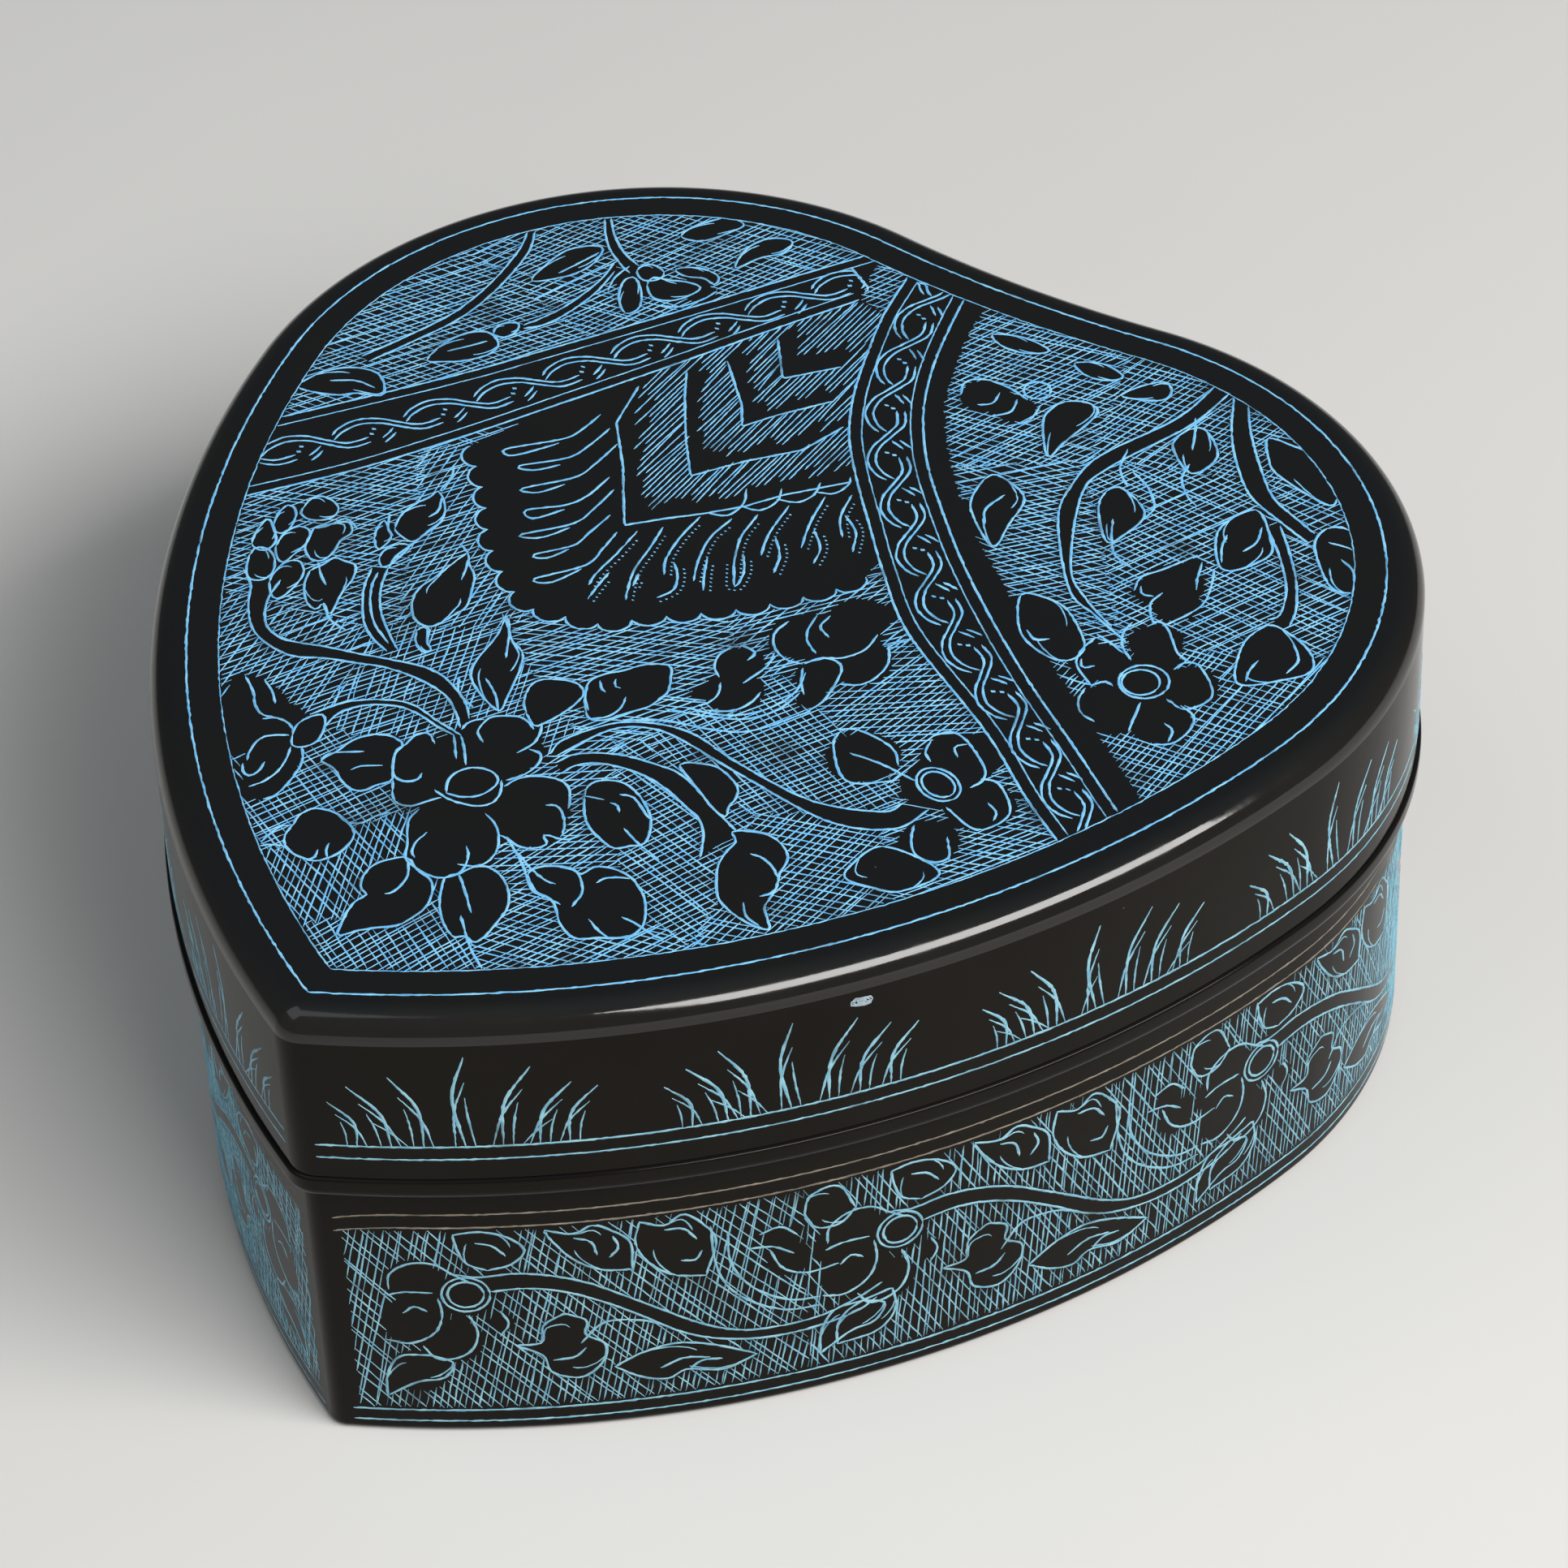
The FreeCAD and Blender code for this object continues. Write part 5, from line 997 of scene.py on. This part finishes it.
TASSELS = [
    [(-21.8, 19), (-22, 16.5), (-22.6, 14.6), (-25.6, 11.4), (-26.2, 10.4), (-25, 10.4), (-22.6, 13.8)],
    [(-20, 17.8), (-20.2, 15), (-20.8, 12.6), (-23.8, 9.4), (-22.4, 9.6), (-20.8, 11.4)],
    [(-18.2, 16.4), (-18.3, 13), (-18.8, 10.6), (-21.8, 7), (-20.4, 7.2), (-18.9, 9.4)],
    [(-16.2, 12.2), (-16.4, 9), (-17.4, 7), (-19.8, 4.8), (-18.6, 4.2), (-17, 6.6)],
    [(-14.9, 11), (-14.9, 8), (-15.3, 5.4), (-18.3, 1.8), (-16.6, 2.4), (-15.2, 4.8)],
    [(-13.2, 8), (-13.4, 5), (-13.6, 3), (-15.8, 0.2), (-14.6, 0.4), (-13.6, 2.4)],
    [(-11.4, 6.4), (-11.2, 4), (-11.2, 1.4), (-13.9, -2.4), (-12.4, -2), (-11.2, 0.8)],
    [(-10, 7.4), (-9.8, 4), (-9.8, 1), (-9.5, -0.6)], [(-8.9, 1.6), (-8.8, 0), (-8.5, -2.2)],
    [(-8.4, 9), (-7.8, 6), (-7.3, 3), (-6.4, 0.8), (-5.7, -0.6)], [(-6.7, 2.8), (-6.2, 1.2)],
    [(-6.5, 11.8), (-6.4, 8.6), (-5.8, 5.6), (-4.8, 3.8)], [(-5, 5.6), (-3.8, 4.4), (-3, 2.6), (-3.6, 1)],
    [(-4, 13), (-4.2, 10), (-3.4, 7), (-2.2, 4.4)], [(-2.9, 7.6), (-2, 5.8), (-0.8, 3.8)],
    [(-2.4, 14.6), (-2, 11.4), (-0.8, 8.6), (0.4, 6.6)], [(-0.6, 9.6), (0.8, 7.6), (1.2, 5.6), (-0.4, 8)],
    [(-0.8, 17), (-0.2, 13), (0.8, 10.2)], [(0.6, 12.8), (2.2, 11), (3, 8.8)],
    [(1.2, 19.6), (2, 16), (3.2, 12.8)], [(2.8, 15.4), (4.6, 13.6), (5.2, 11.6)],
    [(3, 21), (3.8, 18), (5.4, 15.8)], [(4, 18.4), (6, 17), (7.2, 14.6)],
]
# Tassels from this one on have a row of dots beside them
DOTTED_FROM = 7
DOT_OFFSET = 0.62
DOT_STEP = 0.55
DOT_SIZE = 0.12
DOTS_LEFT_OUT = 2
# The first points of the ground are its lower edge, which hangs in scallops
TASSEL_GROUND = [
    (-29, 9.5), (-24, 4.6), (-19.6, -0.6), (-14, -4.8), (-11.5, -5.6), (-8.6, -5), (-5.5, -4.2),
    (-2.8, -1.6), (3.4, 3.6), (8.4, 9.4), (10, 12.4), (9.6, 15), (6.2, 18.7), (-1.1, 27), (-3.2, 30.4),
    (-4.9, 33.9), (-8.4, 44), (-11.2, 44.5), (-15.6, 37), (-20.4, 28), (-25.4, 19),
]
SCALLOPED = 11
SCALLOP = [(0, 0), (0.12, -0.65), (0.5, -1.05), (0.88, -0.65), (1, 0)]
SCALLOP_PITCH = 2.9


def follow(curve, spots):
    """Carry (along, across) spots onto a curve."""
    line = evenly(curve)
    lengths = lengths_along(line)
    way = np.gradient(line, axis=0)
    way /= np.linalg.norm(way, axis=1)[:, None]
    where = np.clip(spots[:, 0], 0, lengths[-1])
    return between(where, lengths, line) + spots[:, 1:] * to_left(between(where, lengths, way))


def length_of(line):
    return np.hypot(*np.diff(line, axis=0).T).sum()


def draw_within(ink, line, ring, width):
    """The stretches of a line that lie within a ring."""
    line = evenly(line)
    for start, end in stretches(inside(line, ring)):
        if end - start >= LEAST_SPOTS:
            ink.stroke(line[start:end], width)


def curls(ring):
    """Two short strokes that echo a leaf's edge inside it."""
    ring = evenly(np.vstack([ring, ring[:1]]))
    count = len(ring)
    middle = ring.mean(0)
    for start, share, shrink in CURLS:
        first = int(start * count)
        part = np.roll(ring, -first, 0)[:max(int(share * count), LEAST_SPOTS)]
        inward = np.linspace(1, shrink, len(part))[:, None]
        yield middle + (part - middle) * inward


def draw_ribbon(ink, edges, field):
    """Two double edges with a rope of S-shaped strands between them."""
    edges = [smooth(edge) for edge in edges]
    for line, gap in zip(edges, (-RIBBON_GAP, RIBBON_GAP)):
        draw_within(ink, line, field, LINE_WIDTH)
        draw_within(ink, beside(evenly(line, RIBBON_STEP), gap), field, FINE_WIDTH)
    left, right = (evenly(line, length_of(line) / RIBBON_SPOTS)[:RIBBON_SPOTS] for line in edges)
    middle = (left + right) / 2
    for start in np.arange(0, length_of(middle) + STRAND_PITCH, STRAND_PITCH):
        for part in STRAND:
            for gap in (-STRAND_GAP / 2, STRAND_GAP / 2):
                strand = follow(middle, smooth(np.array(part) + (start, gap)))
                draw_within(ink, strand, field, LINE_WIDTH)
        for spot in follow(middle, np.array(STRAND_DOTS) + (start, 0)):
            if inside(spot[None], field)[0]:
                ink.dot(*spot, STRAND_DOT)


def scallops():
    """The lobes that hang in a chain along the lower edge of the fringe."""
    edge = smooth(TASSEL_GROUND[:SCALLOPED])
    count = round(length_of(edge) / SCALLOP_PITCH)
    pitch = length_of(edge) / count
    lobe = np.array(SCALLOP) * (pitch, 1)
    return [follow(edge, smooth(lobe + (index * pitch, 0))) for index in range(count)]


def draw_fringe(ink):
    """Fine strokes hanging between the chevrons."""
    medallion = np.array(TASSEL_GROUND)
    for upper, lower in zip([FRINGE_TOP] + CHEVRONS[:-1], CHEVRONS):
        upper, lower = np.array(upper), np.array(lower)
        over = upper[[0, -1], 1] + FRINGE_OVER
        for x in np.arange(lower[0, 0], lower[-1, 0], FRINGE_GAP):
            high = np.interp(x, upper[:, 0], upper[:, 1], left=over[0], right=over[1])
            low = np.interp(x, lower[:, 0], lower[:, 1]) + FRINGE_MARGIN
            if high - low > FRINGE_LEAST:
                lean = dice.normal(0, FRINGE_LEAN)
                end = high - (high - low) * dice.uniform(*FRINGE_REACH)
                draw_within(ink, [(x + lean, high), (x, end)], medallion, FINE_WIDTH)


def draw_border(ink):
    """The border line and the edge of the hatched field."""
    for inset, width, ragged in BORDER_LINES:
        loop = Heart(inset).loop()
        ink.stroke(np.vstack([loop, loop[:1]]), width, ragged=ragged, shake=BORDER_SHAKE)


def draw_flowers(ink, field):
    """Leaves, petals, inner lines and stems; the rings they leave free of hatch are returned."""
    blocks = []
    for leaves, curled in ((LEAVES, True), (FRONT_LEAVES, False)):
        for leaf in leaves:
            ring = smooth(leaf, closed=True)
            blocks.append(ring)
            draw_within(ink, ring, field, LINE_WIDTH)
            for curl in curls(ring) if curled else ():
                draw_within(ink, curl, field, FINE_WIDTH)
    blocks += [smooth(ground, closed=True) for ground in FRONT_GROUNDS]
    for line in LINES + [circle(*ring, count=RING_STEPS) for ring in FLOWER_RINGS]:
        draw_within(ink, smooth(line), field, LINE_WIDTH)
    for stem in DOUBLE_STEMS:
        first, second = (smooth(edge) for edge in stem)
        draw_within(ink, first, field, LINE_WIDTH)
        draw_within(ink, second, field, LINE_WIDTH)
        blocks.append(np.vstack([first, second[::-1]]))
    return blocks


def draw_medallion(ink):
    """Chevrons, tassels and fringe; the ring they leave free of hatch is returned."""
    lobes = scallops()
    for line in CHEVRONS:
        ink.stroke(np.array(line), LINE_WIDTH)
    for line in CHEVRON_SCALLOPS + TASSELS:
        ink.stroke(smooth(line), LINE_WIDTH)
    for line in lobes:
        ink.stroke(line, LINE_WIDTH)
    for line in TASSELS[DOTTED_FROM:]:
        for spot in evenly(beside(line, DOT_OFFSET), DOT_STEP)[DOTS_LEFT_OUT:]:
            ink.dot(*spot, DOT_SIZE)
    draw_fringe(ink)
    return np.vstack(lobes + [TASSEL_GROUND[SCALLOPED:]])


def top_ornament():
    ink = Ink(on_top)
    field = Heart(FIELD_INSET).loop()
    blocks = draw_flowers(ink, field)
    for edges, brim in zip(RIBBON_EDGES, (RIBBON_BRIM, RIBBON_EDGES[1][1])):
        draw_ribbon(ink, edges, field)
        blocks.append(np.vstack([smooth(edges[0]), smooth(brim)[::-1]]))
    blocks.append(draw_medallion(ink))
    draw_border(ink)
    centres = np.array(PATCHES)[:, :2]

    def open_ground(points):
        found = inside(points, field)
        for block in blocks:
            found &= ~inside(points, block)
        for x, y, radius in CLEAR:
            found &= np.hypot(points[:, 0] - x, points[:, 1] - y) > radius
        return found

    for index, (x, y, first, second) in enumerate(PATCHES):
        def keep(points):
            away = np.hypot(points[:, None, 0] - centres[:, 0], points[:, None, 1] - centres[:, 1])
            mine = away[:, index] <= away.min(1) + PATCH_OVERLAP
            mine[mine] = open_ground(points[mine])
            return mine
        low, high = (x - PATCH_REACH, y - PATCH_REACH), (x + PATCH_REACH, y + PATCH_REACH)
        ink.hatch(keep, low, high, first, HATCH_GAP)
        ink.hatch(keep, low, high, second, HATCH_GAP * SPARSE)
    return ink


top_ornament().piece("lid_top_ornament", "lid", "black_lacquer", SKY)


# Ornament of the walls, in millimetres along the outline from the tip and up from the foot

# Height and width of each line
CASE_LINES = ((25.9, 0.26), (24.4, 0.28))
CASE_FOOT_LINES = ((2.7, 0.32), (1.4, 0.28))
LID_LINES = ((34.6, 0.32), (33.2, 0.28))
RIM_STEP = 0.5
RIM_RAGGED = 0.2
RIM_SHAKE = 0.015
LINE_DIP = 1.0
DIP_LENGTH = 7.0
BAND_LOW = 3.0
BAND_HIGH = 24.1
BAND_START = 2.2
# Where each stretch of hatch starts and the slopes of its two sets of strokes
BAND_HATCH = ((0, 78, -52), (40, 84, -62), (110, 80, -56))
BAND_SPARSE = 1.6
TIP_GAP = 1.6
CLEFT_GAP = 0.02

VINE_PITCH = 36.3
VINE_COUNT = 5
VINE = (
    [(11.2, 19), (13, 18.6), (16, 18.9), (19, 18.4), (22, 17.2), (25, 15.2), (28, 13), (31, 10.8),
     (34, 9.3), (37, 8.8), (41, 8.9), (44.5, 10), (46.5, 11)],
    [(14, 16.9), (17, 17.1), (20, 16.4), (23, 14.9), (26, 12.8), (29, 10.4), (32, 8.8), (36, 7.8),
     (40, 7.7), (44, 8.3), (46, 9.4)],
)
# Each leaf is two edges that meet in points
VINE_LEAVES = [
    ([(13.8, 19.4), (12.2, 20.2), (11.6, 21.6), (11.2, 23.6)],
     [(11.2, 23.6), (13.4, 23.9), (15.6, 23.2), (17, 21.6), (15.8, 20), (13.8, 19.4)]),
    ([(25.6, 18.3), (23.2, 18.6), (21, 20), (19.4, 22.2), (18.6, 23.8)],
     [(18.6, 23.8), (21, 23.1), (22.6, 23.9), (24.2, 23), (25.6, 21.4), (25.6, 18.3)]),
    ([(31.6, 16.4), (29, 17), (27, 18.8), (26, 21.2), (26.4, 23.7)],
     [(26.4, 23.7), (28.4, 22.9), (30, 23.9), (31.6, 22.4), (32.6, 20.2), (31.6, 16.4)]),
    ([(15.6, 10.4), (17.8, 10.6), (18, 12.6), (19.8, 13.9)],
     [(19.8, 13.9), (21.6, 12.8), (21.4, 11.2), (23, 9.8), (22.6, 7.6), (20.8, 6.1), (18.4, 7), (17.8, 9),
      (15.6, 10.4)]),
    ([(23.6, 7), (26.2, 8.4), (29, 8.9), (32, 8), (35.6, 6)],
     [(35.6, 6), (32.6, 4.9), (29.6, 5.6), (28, 4.8), (25.8, 5.4), (23.6, 7)]),
    ([(44.4, 20.6), (43, 19.2), (41, 19.4), (40, 21.2)],
     [(40, 21.2), (40.6, 23.2), (43, 23.6), (44.4, 20.6)]),
    ([(42.4, 5), (42.6, 7.6), (44.2, 9.2), (47.4, 10)], [(47.4, 10), (47.6, 7.4), (46, 5.4), (42.4, 5)]),
    ([(4.6, 4.4), (4.8, 7), (6, 9.2), (8.6, 9.4)],
     [(8.6, 9.4), (10.4, 8.4), (9.4, 6.6), (7.4, 6.2), (4.6, 4.4)]),
]
VINE_LINES = [
    [(32.2, 22), (32.4, 18), (33.2, 15), (35, 12.6), (38, 10.6), (41, 10.2)],
    [(33.6, 21), (33.6, 18), (34.4, 15.6), (36, 13.4), (38.6, 11.6), (41, 11.2)],
    [(5.6, 17.2), (5.8, 19), (7.4, 20.2), (9.4, 20.2), (11, 19), (12.4, 17.9)],
    [(5.4, 16.5), (7, 16.9), (9.2, 16.8)], [(5, 11.2), (7, 10.8), (9, 12), (9.8, 14), (9.6, 16.2)],
    [(12, 14.2), (12.6, 12), (12, 10), (10.6, 9), (9, 9), (8, 10.5)],
    [(6.6, 14.4), (7.6, 15.2), (8.6, 14.6)], [(13, 22.6), (14.4, 22.2), (15.4, 21)],
    [(21, 22.6), (22.4, 22), (22.8, 20.4)], [(24.2, 22.4), (24.6, 21), (23.8, 20)],
    [(28.4, 22.4), (30, 22.2), (31, 20.8)], [(29.6, 18.6), (30.8, 18.4), (31.4, 19.4)],
    [(21, 10.2), (23, 12.4), (26, 12.2), (28, 11.2)], [(18.6, 8.4), (20.4, 8.6), (21.4, 9.6)],
    [(27.4, 6.2), (29.4, 7), (31.6, 6.6)], [(29.8, 5.6), (31, 6.4), (32.6, 6.2)],
    [(35.4, 18.6), (37.4, 18.2), (39, 17)], [(37, 18), (38, 15.6), (40, 14.4), (42.8, 14.6)],
    [(36.2, 20), (38, 20.4), (39.4, 19)], [(14.6, 14.6), (15.2, 13), (14.4, 11.6)],
]
VINE_RINGS = ((11.9, 16.6, 2), (11.9, 16.6, 1.5))
VINE_CLEAR = (
    (7.8, 18, 2.5), (7.6, 13.5, 2.8), (10.6, 11.2, 2.4), (7.5, 7.5, 2.4), (11.9, 16.6, 2.4),
    (38.6, 16.4, 1.8), (37.8, 19.2, 1.3), (42.2, 16.8, 1.6), (14.6, 13.2, 1),
)

TUFT_PITCH = 26.5
TUFT_CENTRE = 13.4
TUFT_GROUPS = 6
# Spread of each blade's root, its share of the tuft's height and its bow
BLADES = ((0, 1.0, 0.95), (-0.8, 0.55, 0.2), (0.8, 0.72, 0.6), (1.4, 0.4, 0.3))
BLADE_COUNTS = (3, 5)
BLADE_WIDTH = 0.42
SIDE_BLADE_WIDTH = 0.32
BLADE_TAIL = 2.2
BLADE_STEP = 0.35
BOW_HEIGHT = 0.55
ROOT_STRAY = 0.25
TUFT_HEIGHTS = (0.92, 1.04)
# Root from the middle of the group, then the tip's lean and its height on the wall
TUFTS = [
    (-8.2, -2.1, 39.4), (-5.2, -3.2, 41.2), (-3.2, -2.4, 42.4), (0, 0.4, 44.4), (3.2, 2.6, 43),
    (6, 2.8, 41.7), (8.6, 2.5, 40.6),
]

# The knock in the lid's edge: its place, half sizes and the rings of strokes that fill it
CHIP_PLACE = (46, 44.5)
CHIP_SIZE = np.array([0.95, 0.42])
CHIP_CORE = 0.2
CHIP_RINGS = 4
CHIP_WIDTH = 0.34
CHIP_RAGGED = 0.5


def draw_on_wall(ink, line, width, limit, **more):
    """A stroke on both halves of the wall, cut short at the tip corner and the cleft."""
    line = evenly(line)
    on = (line[:, 0] > TIP_GAP) & (line[:, 0] < limit)
    if on.sum() < LEAST_SPOTS:
        return
    for sign in (1, -1):
        ink.stroke(line[on] * (sign, 1), width, **more)


def case_ornament(heart):
    ink = Ink(on_wall(heart))
    limit = heart.half - CLEFT_GAP
    blocks = []
    circles = []
    for index in range(VINE_COUNT):
        shift = np.array([index * VINE_PITCH, 0])
        leaves = [np.vstack([smooth(np.array(edge) + shift) for edge in leaf]) for leaf in VINE_LEAVES]
        vine = [smooth(np.array(line) + shift) for line in VINE]
        blocks += leaves + [np.vstack([vine[0], vine[1][::-1]])]
        circles += [(s + shift[0], z, radius) for s, z, radius in VINE_CLEAR]
        rings = [circle(s + shift[0], z, radius) for s, z, radius in VINE_RINGS]
        lines = [smooth(np.array(line) + shift) for line in VINE_LINES]
        for line in leaves + vine + rings + lines:
            draw_on_wall(ink, line, LINE_WIDTH, limit)
        for leaf in leaves:
            for curl in curls(leaf):
                draw_on_wall(ink, curl, FINE_WIDTH, limit)

    def keep(points):
        away = np.abs(points[:, 0])
        folded = np.c_[away, points[:, 1]]
        found = (away > BAND_START) & (away < limit) & (points[:, 1] > BAND_LOW) & (points[:, 1] < BAND_HIGH)
        for block in blocks:
            found &= ~inside(folded, block)
        for s, z, radius in circles:
            found &= np.hypot(away - s, points[:, 1] - z) > radius
        return found

    ends = [start for start, *_ in BAND_HATCH[1:]] + [limit]
    for (low, first, second), high in zip(BAND_HATCH, ends):
        for sign in (1, -1):
            def patch(points):
                mine = (points[:, 0] * sign >= low) & (points[:, 0] * sign < high)
                mine[mine] = keep(points[mine])
                return mine
            left, right = sorted((sign * low, sign * high))
            ink.hatch(patch, (left, 0), (right, BAND_HIGH), first, HATCH_GAP)
            ink.hatch(patch, (left, 0), (right, BAND_HIGH), second, HATCH_GAP * BAND_SPARSE)
    return ink


def rim_ornament(heart, lines, dip=0.0):
    """Lines that run round the wall and may dip near the tip."""
    ink = Ink(on_wall(heart))
    s = np.arange(TIP_GAP, heart.half - CLEFT_GAP, RIM_STEP)
    drop = dip * np.clip(1 - s / DIP_LENGTH, 0, 1) ** 2
    for height, width in lines:
        for sign in (1, -1):
            ink.stroke(np.c_[sign * s, height - drop], width, ragged=RIM_RAGGED, shake=RIM_SHAKE)
    return ink


def lid_wall_ornament(heart):
    """Two lines with groups of grass tufts standing on the upper one."""
    ink = rim_ornament(heart, LID_LINES)
    limit = heart.half - CLEFT_GAP
    root_z = LID_LINES[0][0]
    for group in range(TUFT_GROUPS):
        centre = TUFT_CENTRE + group * TUFT_PITCH
        for root, lean, tip_z in TUFTS:
            root = centre + root + dice.normal(0, ROOT_STRAY)
            height = (tip_z - root_z) * dice.uniform(*TUFT_HEIGHTS)
            side = math.copysign(1, lean)
            for spread, share, bend in BLADES[:dice.integers(*BLADE_COUNTS)]:
                start = root - side * spread
                tip = root + lean * share
                middle = (start + tip) / 2 - side * bend * share
                blade = [(start, root_z), (middle, root_z + height * share * BOW_HEIGHT),
                         (tip, root_z + height * share)]
                width = BLADE_WIDTH if share == 1 else SIDE_BLADE_WIDTH
                draw_on_wall(ink, smooth(blade), width, limit, tail=BLADE_TAIL, step=BLADE_STEP)
    return ink


def chip(heart):
    """A small knock in the lid's upper edge, down to the pale ground."""
    ink = Ink(on_wall(heart))
    for share in np.linspace(CHIP_CORE, 1, CHIP_RINGS):
        ink.stroke(circle(*CHIP_PLACE, *CHIP_SIZE * share), CHIP_WIDTH, ragged=CHIP_RAGGED)
    return ink


lid_outline = Heart(SHOULDER)
chip(lid_outline).piece("lid_edge_chip", "lid", "black_lacquer", CHALK)
case_outline = Heart(CASE_INSET)
case_ornament(case_outline).piece("case_vine_ornament", "case", "black_lacquer", TEAL)
rim_ornament(case_outline, CASE_FOOT_LINES).piece("case_foot_lines", "case", "black_lacquer", TEAL)
rim_ornament(case_outline, CASE_LINES, LINE_DIP).piece("case_rim_lines", "case", "black_lacquer", UMBER)
lid_wall_ornament(lid_outline).piece("lid_wall_ornament", "lid", "black_lacquer", TEAL)


# Floor, light and camera

FLOOR_SIZE = 6.0
FLOOR_STEPS = 24
FLOOR_GREYS = ((0.6, 0.595, 0.585), (0.64, 0.635, 0.625))
TARGET = Vector((3.60, 8.26, 25.0)) * MM
CAMERA_AZIMUTH = 34.90
CAMERA_ELEVATION = 41.76
CAMERA_ROLL = math.radians(-2.32)
CAMERA_DISTANCE = 525 * MM
FOCAL_SHARE = 7437 / 1932
SENSOR_WIDTH = 36
NEAREST = 0.01
SKY_TINT = (0.92, 0.97, 1.0, 1)
# The surrounding light fades from before the box to behind it
SKY_FADE = {"From Min": -0.2, "From Max": 0.7, "To Min": 0.3, "To Max": 0.1}


def lay_floor():
    shape = bmesh.new()
    bmesh.ops.create_grid(shape, x_segments=FLOOR_STEPS, y_segments=FLOOR_STEPS, size=FLOOR_SIZE / 2)
    mesh = bpy.data.meshes.new("floor")
    shape.to_mesh(mesh)
    shape.free()
    floor = bpy.data.objects.new("floor", mesh)
    bpy.context.scene.collection.objects.link(floor)
    made = Finish("floor", Specular_IOR_Level=0.1)
    made.colour(made.blend(made.noise(scale=9), *FLOOR_GREYS))
    made.roughness(made.spread(made.noise(scale=40), low=0.3, high=0.7, start=0.7, end=0.85))
    made.bump(made.noise(scale=900), strength=0.05, depth=0.0001)
    mesh.materials.append(made.material)


def toward(azimuth, elevation):
    a, e = math.radians(azimuth), math.radians(elevation)
    return Vector((math.sin(a) * math.cos(e), -math.cos(a) * math.cos(e), math.sin(e)))


def lamp(name, azimuth, elevation, distance, size, power, tint):
    light = bpy.data.lights.new(name, "AREA")
    light.shape = "RECTANGLE"
    light.size, light.size_y = size
    light.energy = power
    light.color = tint
    made = bpy.data.objects.new(name, light)
    bpy.context.scene.collection.objects.link(made)
    way = toward(azimuth, elevation)
    made.location = TARGET + way * distance
    made.rotation_euler = way.to_track_quat("Z", "Y").to_euler()


def set_camera():
    back = toward(CAMERA_AZIMUTH, CAMERA_ELEVATION)
    right = Vector((0, 0, 1)).cross(back).normalized()
    up = back.cross(right)
    c, s = math.cos(CAMERA_ROLL), math.sin(CAMERA_ROLL)
    turned = Matrix((c * right + s * up, c * up - s * right, back)).transposed()
    data = bpy.data.cameras.new("camera")
    data.sensor_width = SENSOR_WIDTH
    data.lens = data.sensor_width * FOCAL_SHARE
    data.clip_start = NEAREST
    made = bpy.data.objects.new("camera", data)
    bpy.context.scene.collection.objects.link(made)
    made.matrix_world = Matrix.Translation(TARGET + back * CAMERA_DISTANCE) @ turned.to_4x4()
    bpy.context.scene.camera = made


def set_world():
    world = bpy.data.worlds.new("studio")
    world.use_nodes = True
    nodes = world.node_tree.nodes
    links = world.node_tree.links
    sky = nodes["Background"]
    sky.inputs["Color"].default_value = SKY_TINT
    view = nodes.new("ShaderNodeTexCoord").outputs["Generated"]
    behind = nodes.new("ShaderNodeVectorMath")
    behind.operation = "DOT_PRODUCT"
    behind.inputs[1].default_value = -toward(CAMERA_AZIMUTH, 0)
    fade = nodes.new("ShaderNodeMapRange")
    for socket, value in SKY_FADE.items():
        fade.inputs[socket].default_value = value
    links.new(view, behind.inputs[0])
    links.new(behind.outputs["Value"], fade.inputs["Value"])
    links.new(fade.outputs["Result"], sky.inputs["Strength"])
    bpy.context.scene.world = world
    bpy.context.scene.view_settings.view_transform = "Standard"


lay_floor()
set_camera()
set_world()
lamp("key", azimuth=80, elevation=46, distance=0.9, size=(0.8, 0.34), power=11.5, tint=(1.0, 0.98, 0.95))
lamp("fill", azimuth=-35, elevation=58, distance=1.1, size=(0.7, 0.7), power=1.4, tint=(0.95, 0.98, 1.0))
